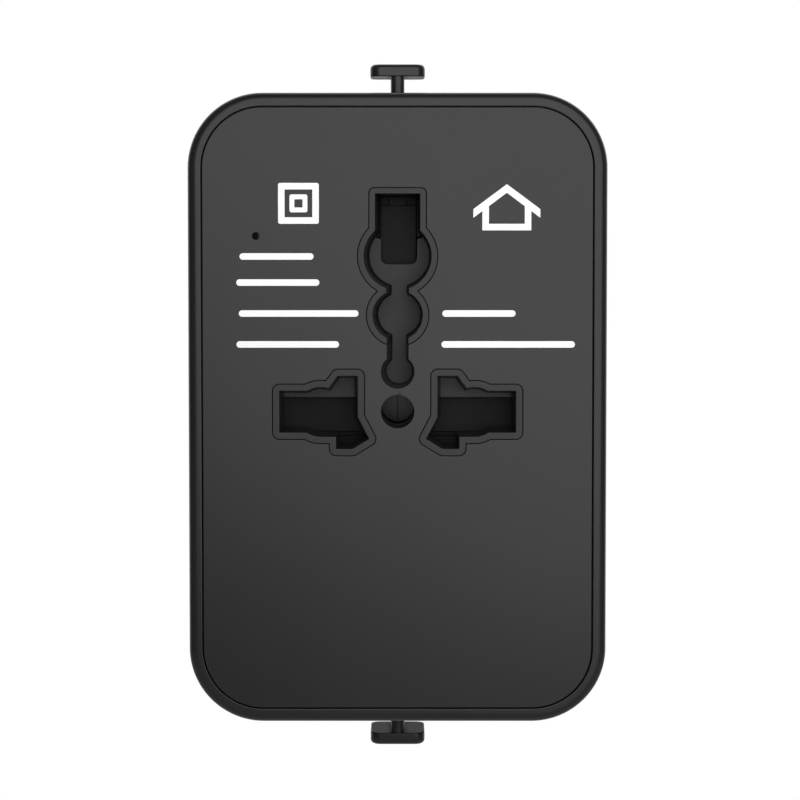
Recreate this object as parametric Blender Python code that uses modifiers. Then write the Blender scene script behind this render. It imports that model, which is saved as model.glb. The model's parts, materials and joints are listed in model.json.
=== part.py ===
"""Universal travel adapter: a plug goes into the front face, and sliders push pins out of the rear face.

The frame: +X to the right of the socket face, +Z up, the socket face towards -Y and the rear face at Y = 0.
Every length below is in millimetres; MM turns it into Blender's metres where a mesh is made.
"""

import math

import bmesh
import bpy
from mathutils import Vector

MM = 0.001

# Housing
BODY_WIDTH = 51.6
BODY_HEIGHT = 77.7
BODY_DEPTH = 55.0
CORNER_RADIUS = 9.2
WALL = 2.0
FRONT = -BODY_DEPTH
SEAM = -6.0  # where the rear cover meets the main shell
SEAM_GAP = 0.3
HALF_WIDTH = BODY_WIDTH / 2
HALF_HEIGHT = BODY_HEIGHT / 2

# Socket face
ROW = -0.3  # height of the live and neutral row
BEZEL = 1.6  # width of the bezel round the face plate
PLATE_GAP = 0.15
PLATE_FRONT = FRONT + 0.1
PLATE_BACK = FRONT + 1.8
SIDE_COLLAR = 0.92  # width of a collar round the live or neutral aperture
EARTH_COLLAR = 0.85
COLLAR_GAP = 0.2
CENTRE_HOLE_RADIUS = 2.04
CENTRE_HOLE_BACK = FRONT + 12.7
LED_X = -17.4
LED_Z = ROW + 21.6
BLOCK_FRONT = -51.0
BLOCK_BACK = -32.0
CHAMBER_FRONT = -47.0

# Shutter
SHUTTER_BACK = -47.2
SHUTTER_STEP = ROW + 1.5
SHUTTER_TOP = ROW + 4.9
SHUTTER_BOTTOM = ROW - 2.9
SKIRT_BOTTOM = ROW - 4.75
POCKET_BOTTOM = -15.0
FLAP_AXIS = (-48.9, ROW + 27.0)  # (y, z) of the earth flap's hinge
FLAP_HALF_WIDTH = 1.95
FLAP_HALF_THICKNESS = 0.4
FLAP_TOP = ROW + 24.9
FLAP_BOTTOM = ROW + 18.5

# Pins and their carriages
UK_TRAVEL = 23.1
EU_TRAVEL = 19.5
US_TRAVEL = 18.0
CARRIAGE_FRONT = -28.6
CARRIAGE_BACK = -25.6
FOOT_FRONT = -29.3
FOOT_BACK = -28.8
UK_PIN_X = 11.1
UK_EARTH_Z = ROW + 22.2
US_BLADE_X = 6.35
US_BLADE_Z = ROW + 10.0
US_BLADE_HALF = (0.75, 3.175)
US_TURN = 30.0
EU_PIN_X = 9.5
EU_PIN_Z = -13.3
EU_PIN_RADIUS = 2.0
ROTOR_RADIUS = 4.0
PIN_GAP = 0.2
HOLE_GAP = 0.4
RAIL_X = 22.6  # the side busbars' centre planes
RAIL_END = -3.0

# Knobs
KNOB_FRONT = -50.2
KNOB_BACK = -41.6
KNOB_HALF_WIDTH = 3.4
KNOB_TOP = HALF_HEIGHT + 3.7
KNOB_THICKNESS = 1.5
STEM_HALF = 0.85
STEM_LENGTH = 3.0
ARM_LOW = 30.2
ARM_HIGH = 31.4

# Fasteners
SCREW_PLACES = [(x, z) for x in (-20.6, 20.6) for z in (-33.2, 33.2)]
POST_RADIUS = 2.5

ROUND = 24  # sides of a small round piece

for leftover in list(bpy.data.objects):
    bpy.data.objects.remove(leftover)

parts = bpy.data.collections.new("travel_adapter")
cutters = bpy.data.collections.new("cutters")
cutters.hide_render = True
bpy.context.scene.collection.children.link(parts)
bpy.context.scene.collection.children.link(cutters)


# ---------------------------------------------------------------- materials


def material(name, colour, roughness, metallic=0.0):
    made = bpy.data.materials.new(name)
    made.use_nodes = True
    shader = made.node_tree.nodes["Principled BSDF"]
    shader.inputs["Base Color"].default_value = (*colour, 1.0)
    shader.inputs["Roughness"].default_value = roughness
    shader.inputs["Metallic"].default_value = metallic
    return made


DARK_PLASTIC = material("dark_plastic", (0.052, 0.052, 0.054), 0.48)
FACE_PLASTIC = material("face_plastic", (0.062, 0.062, 0.064), 0.45)
BLACK_PLASTIC = material("black_plastic", (0.018, 0.018, 0.019), 0.5)
NICKEL = material("nickel_plated_brass", (0.72, 0.70, 0.66), 0.25, 1.0)
BRASS = material("brass", (0.80, 0.60, 0.28), 0.3, 1.0)
STEEL = material("spring_steel", (0.55, 0.56, 0.58), 0.3, 1.0)
BOARD_GREEN = material("circuit_board", (0.03, 0.16, 0.07), 0.4)
VARISTOR_BLUE = material("varistor_coating", (0.03, 0.12, 0.42), 0.4)
CERAMIC = material("ceramic", (0.82, 0.80, 0.74), 0.35)
CLEAR = material("clear_plastic", (0.85, 0.88, 0.90), 0.1)
LED_RED = material("led_lens", (0.60, 0.04, 0.03), 0.15)
WIRE_BROWN = material("wire_brown", (0.20, 0.09, 0.04), 0.5)
WIRE_BLUE = material("wire_blue", (0.03, 0.10, 0.45), 0.5)


# ---------------------------------------------------------------- outlines


def arc(centre, radius, start, end, steps):
    """Points along an arc, from one angle in degrees to another."""
    angles = [math.radians(start + (end - start) * i / steps) for i in range(steps + 1)]
    return [(centre[0] + radius * math.cos(a), centre[1] + radius * math.sin(a)) for a in angles]


def circle(centre, radius, steps=ROUND):
    return arc(centre, radius, 0, 360 - 360 / steps, steps - 1)


def rectangle(low, high):
    return [(low[0], low[1]), (high[0], low[1]), (high[0], high[1]), (low[0], high[1])]


def rounded_rectangle(low, high, radius, steps=4):
    corners = [
        (high[0] - radius, high[1] - radius, 0),
        (low[0] + radius, high[1] - radius, 90),
        (low[0] + radius, low[1] + radius, 180),
        (high[0] - radius, low[1] + radius, 270),
    ]
    points = []
    for x, z, start in corners:
        points += arc((x, z), radius, start, start + 90, steps)
    return points


def body_outline(inset, steps=8):
    low = (-HALF_WIDTH + inset, -HALF_HEIGHT + inset)
    high = (HALF_WIDTH - inset, HALF_HEIGHT - inset)
    return rounded_rectangle(low, high, CORNER_RADIUS - inset, steps)


def mirrored(points):
    return [(-x, z) for x, z in points]


def moved(points, up):
    return [(x, z + up) for x, z in points]


def offset(points, distance):
    """The closed outline, which runs clockwise, grown by a distance with mitred corners."""
    grown = []
    for i, here in enumerate(points):
        before = Vector(here) - Vector(points[i - 1])
        after = Vector(points[(i + 1) % len(points)]) - Vector(here)
        side_a = Vector((-before.y, before.x)).normalized()
        side_b = Vector((-after.y, after.x)).normalized()
        mitre = (side_a + side_b) / (1 + side_a.dot(side_b))
        grown.append(tuple(Vector(here) + mitre * distance))
    return grown


def ribbon(points, thickness):
    """The closed outline of a strip that follows an open line."""
    sides = []
    for i, here in enumerate(points):
        before = Vector(here) - Vector(points[i - 1]) if i else None
        after = Vector(points[i + 1]) - Vector(here) if i + 1 < len(points) else None
        normals = [Vector((-run.y, run.x)).normalized() for run in (before, after) if run]
        mitre = normals[0]
        if len(normals) == 2:
            mitre = (normals[0] + normals[1]) / (1 + normals[0].dot(normals[1]))
        sides.append(mitre * thickness / 2)
    left = [tuple(Vector(p) + s) for p, s in zip(points, sides)]
    right = [tuple(Vector(p) - s) for p, s in zip(points, sides)]
    return left + right[::-1]


def side_aperture():
    """Outline of the live aperture, right of the centre, clockwise, measured from the row."""
    return [
        (4.94, -0.66),
        (4.94, 4.38),
        (7.38, 4.38),
        *arc((9.5, 0), 3.0, 109.5, 57.5, 5),
        (14.55, 2.53),
        (14.55, -2.48),
        *arc((9.5, 0), 3.0, -55.8, -90, 4),
        (7.56, -3.00),
        (7.56, -4.50),
        (5.55, -4.50),
        (3.54, -3.28),
    ]


def keyhole_side(grow):
    """Right side of the earth keyhole from its top down to where the slot begins, measured from the row."""
    half_top = 2.755 + grow
    top = 26.79 + grow * 0.95
    large = 4.16 + grow
    small = 3.07 + grow
    neck = 1.40 + grow
    slot = 1.31
    large_start = math.degrees(math.acos(half_top / large))
    small_z, large_z = 11.89, 19.14
    if large_z - math.sqrt(large**2 - neck**2) > small_z + math.sqrt(small**2 - neck**2):
        large_end = -math.degrees(math.acos(neck / large))
        small_start = math.degrees(math.acos(neck / small))
    else:
        # The two grown circles meet before they reach the neck.
        gap = large_z - small_z
        low = (gap**2 + small**2 - large**2) / (2 * gap)
        small_start = math.degrees(math.asin(low / small))
        large_end = -math.degrees(math.asin((gap - low) / large))
    small_end = -math.degrees(math.acos(slot / small))
    return [
        (half_top, top),
        *arc((0, large_z), large, large_start, large_end, 8),
        *arc((0, small_z), small, small_start, small_end, 8),
    ]


def slot_side():
    """Right side of the slot that runs down from the keyhole into the upper round hole."""
    start = math.degrees(math.acos(1.31 / CENTRE_HOLE_RADIUS))
    return arc((0, 4.9), CENTRE_HOLE_RADIUS, start, -90, 8)


def closed(side):
    """A whole outline from its right side, which starts at the top."""
    return side + [(-x, z) for x, z in reversed(side) if x > 1e-6]


def bow_tie(centre, half, turn):
    """The clockwise sweep of an upright blade that turns clockwise through an angle."""
    half_x, half_z = half
    reach = math.hypot(half_x, half_z)
    corner = math.degrees(math.atan2(half_z, half_x))
    waist = half_x * math.tan(math.radians(turn / 2))
    top = arc((0, 0), reach, 180 - corner, corner - turn, 5)
    bottom = [(-x, -z) for x, z in top]
    points = top + [(half_x, -waist)] + bottom + [(-half_x, waist)]
    return [(x + centre[0], z + centre[1]) for x, z in points]


# ---------------------------------------------------------------- shapes


def add_object(name, mesh, location=(0, 0, 0)):
    made = bpy.data.objects.new(name, mesh)
    made.location = Vector(location) * MM
    parts.objects.link(made)
    return made


def box(name, low, high):
    """A block between two corners, with its origin at its centre."""
    low, high = Vector(low), Vector(high)
    work = bmesh.new()
    bmesh.ops.create_cube(work, size=1.0)
    bmesh.ops.scale(work, vec=(high - low) * MM, verts=work.verts)
    mesh = bpy.data.meshes.new(name)
    work.to_mesh(mesh)
    work.free()
    return add_object(name, mesh, (low + high) / 2)


def meshed(curve_object):
    """The curve's solid as a mesh object of the same name, with its caps welded on."""
    bpy.context.view_layer.update()
    evaluated = curve_object.evaluated_get(bpy.context.evaluated_depsgraph_get())
    mesh = bpy.data.meshes.new_from_object(evaluated)
    name, place = curve_object.name, curve_object.matrix_world.copy()
    bpy.data.objects.remove(curve_object)
    mesh.name = name
    work = bmesh.new()
    work.from_mesh(mesh)
    bmesh.ops.remove_doubles(work, verts=work.verts, dist=0.001 * MM)
    bmesh.ops.recalc_face_normals(work, faces=work.faces)
    work.to_mesh(mesh)
    work.free()
    made = add_object(name, mesh)
    made.matrix_world = place
    return made


def prism(name, outlines, start, end, axis="Y"):
    """A flat outline, with any holes, carried along an axis. The outline is (x, z), (y, z) or (x, y)."""
    curve = bpy.data.curves.new(name, "CURVE")
    curve.dimensions = "2D"
    curve.fill_mode = "BOTH"
    curve.extrude = abs(end - start) / 2 * MM
    for outline in outlines:
        spline = curve.splines.new("POLY")
        spline.points.add(len(outline) - 1)
        for point, (u, v) in zip(spline.points, outline):
            point.co = (u * MM, v * MM, 0, 1)
        spline.use_cyclic_u = True
    middle = (start + end) / 2
    location, turn = {
        "X": ((middle, 0, 0), (90, 0, 90)),
        "Y": ((0, middle, 0), (90, 0, 0)),
        "Z": ((0, 0, middle), (0, 0, 0)),
    }[axis]
    made = add_object(name, curve, location)
    made.rotation_euler = [math.radians(angle) for angle in turn]
    return meshed(made)


def turned(name, profile, location, axis="Y", steps=ROUND):
    """A round piece: (radius, height) points from its top to its bottom, turned about the axis."""
    work = bmesh.new()
    points = [work.verts.new((radius * MM, 0, height * MM)) for radius, height in profile]
    for first, second in zip(points, points[1:]):
        work.edges.new((first, second))
    mesh = bpy.data.meshes.new(name)
    work.to_mesh(mesh)
    work.free()
    made = add_object(name, mesh, location)
    screw = made.modifiers.new("turn", "SCREW")
    screw.steps = steps
    screw.render_steps = steps
    screw.use_merge_vertices = True
    screw.merge_threshold = 0.00001
    made.rotation_euler = {
        "X": (0, math.radians(90), 0),
        "Y": (math.radians(-90), 0, 0),
        "Z": (0, 0, 0),
    }[axis]
    return made


def rod(name, centre, radius, start, end, axis="Y", steps=ROUND):
    """A plain cylinder along an axis. The centre is its place across that axis, in X, Y, Z order."""
    place = {"X": (0, *centre), "Y": (centre[0], 0, centre[1]), "Z": (*centre, 0)}[axis]
    return turned(name, [(0, end), (radius, end), (radius, start), (0, start)], place, axis, steps)


def tube(name, points, radius):
    """A wire through the points."""
    curve = bpy.data.curves.new(name, "CURVE")
    curve.dimensions = "3D"
    curve.bevel_depth = radius * MM
    curve.bevel_resolution = 1
    curve.use_fill_caps = True
    spline = curve.splines.new("POLY")
    spline.points.add(len(points) - 1)
    for point, place in zip(spline.points, points):
        point.co = (*(Vector(place) * MM), 1)
    return meshed(add_object(name, curve))


def coil(name, centre, radius, wire, low, high, turns):
    """A compression spring along Z."""
    count = turns * 10
    start, end = low + wire, high - wire
    points = []
    for i in range(count + 1):
        angle = math.tau * turns * i / count
        height = start + (end - start) * i / count
        points.append((centre[0] + radius * math.cos(angle), centre[1] + radius * math.sin(angle), height))
    return tube(name, points, wire)


def combine(target, tools, operation):
    """Cuts tools from an object, or joins them to it. The tools are kept as hidden helpers."""
    for tool in tools:
        step = target.modifiers.new(f"{operation.lower()}_{tool.name}", "BOOLEAN")
        step.operation = operation
        step.solver = "EXACT"
        step.object = tool
        parts.objects.unlink(tool)
        cutters.objects.link(tool)
        tool.hide_render = True
        tool.display_type = "WIRE"
    return target


def cut(target, *tools):
    return combine(target, tools, "DIFFERENCE")


def join(target, *tools):
    return combine(target, tools, "UNION")


def round_edges(target, width, segments, picked):
    """Rounds the edges whose two ends are both picked, in world millimetres."""
    bpy.context.view_layer.update()
    place = target.matrix_world
    work = bmesh.new()
    work.from_mesh(target.data)
    edges = [e for e in work.edges if all(picked(place @ v.co / MM) for v in e.verts)]
    edges = [e for e in edges if len({tuple(round(n, 3) for n in f.normal) for f in e.link_faces}) > 1]
    bmesh.ops.bevel(work, geom=edges, offset=width * MM, segments=segments, profile=0.5, affect="EDGES")
    work.to_mesh(target.data)
    work.free()
    return target


def finish(target, look):
    """Gives a piece its material, and smooth shading where it is round."""
    target.data.materials.clear()
    target.data.materials.append(look)
    if target.type == "MESH":
        target.data.shade_smooth()
        target.data.set_sharp_from_angle(angle=math.radians(35))
    return target


def carrier(name, place, pieces):
    """An empty on the axis of a moving body, with that body's pieces under it."""
    empty = bpy.data.objects.new(name, None)
    empty.location = Vector(place) * MM
    empty.empty_display_size = 5 * MM
    parts.objects.link(empty)
    bpy.context.view_layer.update()
    for piece in pieces:
        piece.parent = empty
        piece.matrix_parent_inverse = empty.matrix_world.inverted()
    return empty


# ---------------------------------------------------------------- housing


def make_main_shell():
    shell = prism("main_shell", [body_outline(0)], FRONT, SEAM)
    round_edges(shell, 0.65, 2, lambda p: p.y < FRONT + 0.01)
    opening = prism("shell_opening", [body_outline(BEZEL)], FRONT - 1, PLATE_BACK + 0.2)
    ledge = prism("shell_ledge_opening", [body_outline(3.2)], PLATE_BACK, PLATE_BACK + 2)
    cavity = prism("shell_cavity", [body_outline(WALL)], PLATE_BACK + 1.7, SEAM + 1)
    cut(shell, opening, ledge, cavity)
    for number, (x, z) in enumerate(SCREW_PLACES, 1):
        post_end = SEAM - SEAM_GAP
        join(shell, rod(f"shell_post_{number}", (x, z), POST_RADIUS, PLATE_BACK + 0.9, post_end, steps=16))
        cut(shell, rod(f"shell_post_hole_{number}", (x, z), 1.2, -16, SEAM + 1, steps=12))
    for name, side, travel in (("uk", 1, UK_TRAVEL), ("eu", -1, EU_TRAVEL)):
        heights = sorted((side * (HALF_HEIGHT - WALL - 1), side * (HALF_HEIGHT + 1)))
        end = KNOB_FRONT + STEM_LENGTH + travel + 0.4
        slot = box(f"{name}_knob_slot", (-1.1, KNOB_FRONT - 0.4, heights[0]), (1.1, end, heights[1]))
        cut(shell, slot)
    track_low, track_high = US_BLADE_Z - 5.0, US_BLADE_Z + 5.0
    track = box("us_track", (-HALF_WIDTH - 1, -37.4, track_low), (-HALF_WIDTH + 1.1, -8.6, track_high))
    slot_low, slot_high = US_BLADE_Z - 1.8, US_BLADE_Z + 1.8
    slot = box("us_slot", (-HALF_WIDTH - 1, -29.9, slot_low), (-HALF_WIDTH + 3, -8.1, slot_high))
    cut(shell, track, slot)
    return finish(shell, DARK_PLASTIC)


def make_rear_cover():
    cover = prism("rear_cover", [body_outline(0)], SEAM + SEAM_GAP, 0)
    round_edges(cover, 1.5, 3, lambda p: p.y > -0.01)
    cut(cover, prism("cover_cavity", [body_outline(WALL)], SEAM - 1, -WALL))
    for number, (x, z) in enumerate(SCREW_PLACES, 1):
        join(cover, rod(f"cover_post_{number}", (x, z), POST_RADIUS, SEAM + SEAM_GAP, -1.8, steps=16))
        cut(
            cover,
            rod(f"cover_screw_hole_{number}", (x, z), 1.2, SEAM - 1, 1, steps=12),
            rod(f"cover_screw_recess_{number}", (x, z), 2.3, -1.5, 1, steps=16),
        )
    holes = []
    for side in (-1, 1):
        x = side * UK_PIN_X
        low = (x - 3.175 - HOLE_GAP, ROW - 2.0 - HOLE_GAP)
        high = (x + 3.175 + HOLE_GAP, ROW + 2.0 + HOLE_GAP)
        holes.append(prism(f"cover_uk_hole_{side}", [rectangle(low, high)], -WALL - 1, 1))
        centre = (side * EU_PIN_X, EU_PIN_Z)
        holes.append(rod(f"cover_eu_hole_{side}", centre, EU_PIN_RADIUS + HOLE_GAP, -WALL - 1, 1))
        half = (US_BLADE_HALF[0] + HOLE_GAP, US_BLADE_HALF[1] + HOLE_GAP)
        # The bottom ends of the two blades turn towards each other.
        outline = bow_tie((US_BLADE_X, US_BLADE_Z), half, US_TURN)
        outline = outline if side > 0 else mirrored(outline)
        holes.append(prism(f"cover_us_hole_{side}", [outline], -WALL - 1, 1))
    low = (-2.0 - HOLE_GAP, UK_EARTH_Z - 4.0 - HOLE_GAP)
    high = (2.0 + HOLE_GAP, UK_EARTH_Z + 4.0 + HOLE_GAP)
    holes.append(prism("cover_uk_earth_hole", [rectangle(low, high)], -WALL - 1, 1))
    cut(cover, *holes)
    return finish(cover, DARK_PLASTIC)


def make_case_screws():
    profile = [(0, -0.35), (1.7, -0.35), (2.1, -0.7), (2.1, -1.3), (0.95, -1.3), (0.95, -11.6), (0, -12.6)]
    for number, (x, z) in enumerate(SCREW_PLACES, 1):
        name = f"case_screw_{number}"
        screw = turned(name, profile, (x, 0, z), steps=16)
        across = box(f"{name}_slot", (x - 1.2, -0.9, z - 0.25), (x + 1.2, 0, z + 0.25))
        upright = box(f"{name}_cross", (x - 0.25, -0.9, z - 1.2), (x + 0.25, 0, z + 1.2))
        cut(screw, across, upright)
        finish(screw, STEEL)


# ---------------------------------------------------------------- socket face


def centre_hole():
    return circle((0, ROW), CENTRE_HOLE_RADIUS)


def make_face_plate():
    side = moved(offset(side_aperture(), SIDE_COLLAR + COLLAR_GAP), ROW)
    keyhole = moved(closed(keyhole_side(EARTH_COLLAR + COLLAR_GAP) + slot_side()), ROW)
    led = circle((LED_X, LED_Z), 0.5, 12)
    outlines = [body_outline(BEZEL + PLATE_GAP), side, mirrored(side), keyhole, centre_hole(), led]
    return finish(prism("face_plate", outlines, PLATE_FRONT, PLATE_BACK), FACE_PLASTIC)


def block_outline(half_low, half_high, low, middle, high):
    """An upright T, wide below the middle height and narrow above it."""
    right = [(half_high, high), (half_high, middle), (half_low, middle), (half_low, low)]
    return right + mirrored(right)[::-1]


def make_socket_core():
    side = moved(side_aperture(), ROW)
    collar = moved(offset(side_aperture(), SIDE_COLLAR), ROW)
    keyhole = moved(closed(keyhole_side(0) + slot_side()), ROW)
    keyhole_collar = moved(closed(keyhole_side(EARTH_COLLAR)), ROW)
    outer = block_outline(17.2, 7.4, ROW - 7.2, ROW + 7.4, ROW + 29.4)
    holes = [side, mirrored(side), keyhole, centre_hole()]
    core = prism("socket_core", [outer, *holes], PLATE_FRONT + 0.05, BLOCK_FRONT - 0.3)
    around = rectangle((-20, -20), (20, 35))
    outlines = [around, collar, mirrored(collar), keyhole_collar]
    relief = prism("core_relief", outlines, FRONT - 1, PLATE_BACK + 0.3)
    return finish(cut(core, relief), FACE_PLASTIC)


def make_contact_block():
    outline = block_outline(17.0, 7.2, -16.2, ROW + 7.2, ROW + 29.0)
    block = prism("contact_block", [outline], BLOCK_FRONT, BLOCK_BACK)
    window = rounded_rectangle((-2.24, ROW + 18.2), (2.24, ROW + 27.2), 0.6, 3)
    pivot_y, pivot_z = FLAP_AXIS
    tools = [
        prism("block_earth_window", [window], BLOCK_FRONT - 1, CHAMBER_FRONT + 1),
        box("block_earth_chamber", (-3.3, CHAMBER_FRONT, ROW + 17.3), (3.3, BLOCK_BACK - 1.2, ROW + 28)),
        box("block_shutter_track", (-15.8, -49.4, POCKET_BOTTOM), (15.8, CHAMBER_FRONT, ROW + 5.3)),
        box("block_earth_tail", (-1.9, -34, 21.3), (1.9, -31, 22.7)),
        box("block_flap_pivot", (-3.1, pivot_y - 1.0, pivot_z - 1.1), (3.1, -46.9, pivot_z + 1.0)),
        rod("block_centre_hole", (0, ROW), CENTRE_HOLE_RADIUS, BLOCK_FRONT - 1, CENTRE_HOLE_BACK),
    ]
    for side in (-1, 1):
        x = sorted((side * 3.0, side * 15.75))
        pocket_low = (x[0], BLOCK_FRONT - 1, POCKET_BOTTOM + 0.05)
        tools.append(box(f"block_shutter_window_{side}", pocket_low, (x[1], -48, ROW + 5.25)))
        x = sorted((side * 3.3, side * 15.6))
        chamber_high = (x[1], BLOCK_BACK - 1.2, ROW + 5.2)
        tools.append(box(f"block_chamber_{side}", (x[0], CHAMBER_FRONT - 0.1, ROW - 5.2), chamber_high))
        x = sorted((side * 12.0, side * 15.0))
        tools.append(box(f"block_tail_{side}", (x[0], -34, -0.9), (x[1], -31, 0.9)))
    return finish(cut(block, *tools), FACE_PLASTIC)


def make_shutter():
    profile = [
        (-50.6, SHUTTER_STEP),
        (-50.6, SHUTTER_TOP),
        (SHUTTER_BACK, SHUTTER_TOP),
        (SHUTTER_BACK, SHUTTER_BOTTOM),
        (-49.1, SHUTTER_BOTTOM),
        (-49.1, SHUTTER_STEP),
    ]
    shutter = prism("safety_shutter", [profile], 3.3, 15.4, "X")
    other = prism("shutter_left_flap", [profile], -15.4, -3.3, "X")
    # The bridge passes above the centre hole.
    bridge_low, bridge_high = (-4, -49.0, SHUTTER_STEP + 1.0), (4, SHUTTER_BACK - 0.2, SHUTTER_TOP - 0.2)
    bridge = box("shutter_bridge", bridge_low, bridge_high)
    # A skirt under each flap closes the aperture's lower tip, beside the spring.
    skirts = []
    for side in (-1, 1):
        x = sorted((side * 3.3, side * 8.6))
        low, high = (x[0], -48.6, SKIRT_BOTTOM), (x[1], SHUTTER_BACK - 0.1, SHUTTER_BOTTOM + 0.4)
        skirts.append(box(f"shutter_skirt_{side}", low, high))
    finish(join(shutter, bridge, other, *skirts), BLACK_PLASTIC)
    springs = []
    for name, x in (("left", -13.0), ("right", 13.0)):
        low, high = POCKET_BOTTOM + 0.2, SHUTTER_BOTTOM - 0.2
        springs.append(coil(f"shutter_spring_{name}", (x, -48.2), 0.75, 0.16, low, high, 6))
        finish(springs[-1], STEEL)
    carrier("shutter_slide", (0, SHUTTER_BACK, SHUTTER_BOTTOM), [shutter, *springs])


def make_earth_flap():
    """The flap that closes the earth window. It hangs from its axle by two arms and swings inwards."""
    axis_y, axis_z = FLAP_AXIS
    front, back = axis_y - FLAP_HALF_THICKNESS, axis_y + FLAP_HALF_THICKNESS
    flap = box("earth_flap", (-FLAP_HALF_WIDTH, front, FLAP_BOTTOM), (FLAP_HALF_WIDTH, back, FLAP_TOP))
    axle = rod("earth_flap_axle", FLAP_AXIS, 0.5, -2.8, 2.8, "X", 12)
    arms = []
    for side in (-1, 1):
        x = sorted((side * 0.95, side * (FLAP_HALF_WIDTH - 0.05)))
        low, high = (x[0], front + 0.05, FLAP_TOP - 0.2), (x[1], back - 0.05, axis_z)
        arms.append(box(f"earth_flap_arm_{side}", low, high))
    finish(join(flap, axle, *arms), BLACK_PLASTIC)
    carrier("earth_flap_turn", (0, axis_y, axis_z), [flap])


def make_side_contact(name, side):
    """A U for round and rectangular pins, a fork for flat blades and a tail through the block."""
    jaw = [(-46.4, ROW + 3.4), (-45.2, ROW + 2.45), (-33.7, ROW + 2.45)]
    jaw += [(-33.7, ROW - 2.45), (-45.2, ROW - 2.45), (-46.4, ROW - 3.4)]
    x = sorted((side * 8.3, side * 15.2))
    contact = prism(name, [ribbon(jaw, 0.5)], x[0], x[1], "X")
    fork = [(4.4, -46.4), (5.2, -45.2), (5.2, -33.75), (7.6, -33.75)]
    fork = [(side * u, v) for u, v in fork]
    blade_jaw = prism(f"{name}_fork", [ribbon(fork, 0.4)], ROW - 4.4, ROW + 4.3, "Z")
    x = sorted((side * 7.2, side * 9.2))
    bridge = box(f"{name}_bridge", (x[0], -33.9, ROW - 1.5), (x[1], -33.6, ROW + 1.5))
    x = sorted((side * 12.4, side * 14.6))
    tail = box(f"{name}_tail", (x[0], -33.8, -0.5), (x[1], -31.6, 0.5))
    return finish(join(contact, blade_jaw, bridge, tail), BRASS)


def make_earth_contact():
    jaw = [(-3.0, -46.4), (-2.6, -45.4), (-2.6, -33.7), (2.6, -33.7), (2.6, -45.4), (3.0, -46.4)]
    contact = prism("earth_contact", [ribbon(jaw, 0.4)], ROW + 18.2, ROW + 27.0, "Z")
    tail = box("earth_contact_tail", (-1.5, -33.8, 21.6), (1.5, -31.6, 22.4))
    return finish(join(contact, tail), BRASS)


def make_busbars():
    for name, side in (("live_busbar", 1), ("neutral_busbar", -1)):
        line = [(side * 12.0, -30.9), (side * RAIL_X, -30.9), (side * RAIL_X, RAIL_END)]
        finish(prism(name, [ribbon(line, 0.6)], -15.8, ROW + 2.0, "Z"), BRASS)
    plate = box("earth_busbar", (-2, -31.2, 20.0), (12, -30.6, 29.6))
    rail = box("earth_busbar_rail", (8, -31.0, 29.05), (12.2, RAIL_END, 29.5))
    finish(join(plate, rail), BRASS)


def make_divider():
    outline = rounded_rectangle((-21.9, -29.4), (21.9, 28.3), 1.0, 2)
    return finish(prism("divider_plate", [outline], -30.2, -29.7), BLACK_PLASTIC)


# ---------------------------------------------------------------- pins


def pin_box(name, centre, half, tip, chamfer):
    """A rectangular pin from its foot to its tip, with the tip's edges chamfered."""
    low, high = Vector(centre) - Vector(half), Vector(centre) + Vector(half)
    pin = box(name, (low.x, FOOT_FRONT, low.y), (high.x, tip, high.y))
    return round_edges(pin, chamfer, 1, lambda p: p.y > tip - 0.01)


def foot(name, low, high):
    return box(name, (low[0], FOOT_FRONT + 0.05, low[1]), (high[0], FOOT_BACK, high[1]))


def pin_hole(name, centre, half):
    """The cutter for a rectangular pin's hole through its carrier."""
    half = Vector(half) + Vector((PIN_GAP, PIN_GAP))
    low, high = Vector(centre) - half, Vector(centre) + half
    return box(name, (low.x, FOOT_FRONT - 1, low.y), (high.x, CARRIAGE_BACK + 1, high.y))


def knob_arm(prefix, side, reach):
    """The bar from a carriage to its knob, with a cup that holds the knob's shoulder."""
    z = sorted((side * ARM_LOW, side * ARM_HIGH))
    bar = box(f"{prefix}_arm", (-3.2, KNOB_FRONT - 0.7, z[0]), (3.2, CARRIAGE_BACK - 0.1, z[1]))
    outer = rectangle((-3.3, KNOB_FRONT - 0.8), (3.3, KNOB_FRONT + 5.9))
    inner = rectangle((-2.5, KNOB_FRONT - 0.3), (2.5, KNOB_FRONT + 5.3))
    z = sorted((side * (ARM_HIGH - 0.3), side * 35.4))
    cup = prism(f"{prefix}_cup", [outer, inner], z[0], z[1], "Z")
    z = sorted((side * reach, side * (ARM_HIGH - 0.1)))
    web = box(f"{prefix}_web", (-3.1, CARRIAGE_FRONT + 0.1, z[0]), (3.1, CARRIAGE_BACK - 0.2, z[1]))
    return [web, bar, cup]


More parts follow.
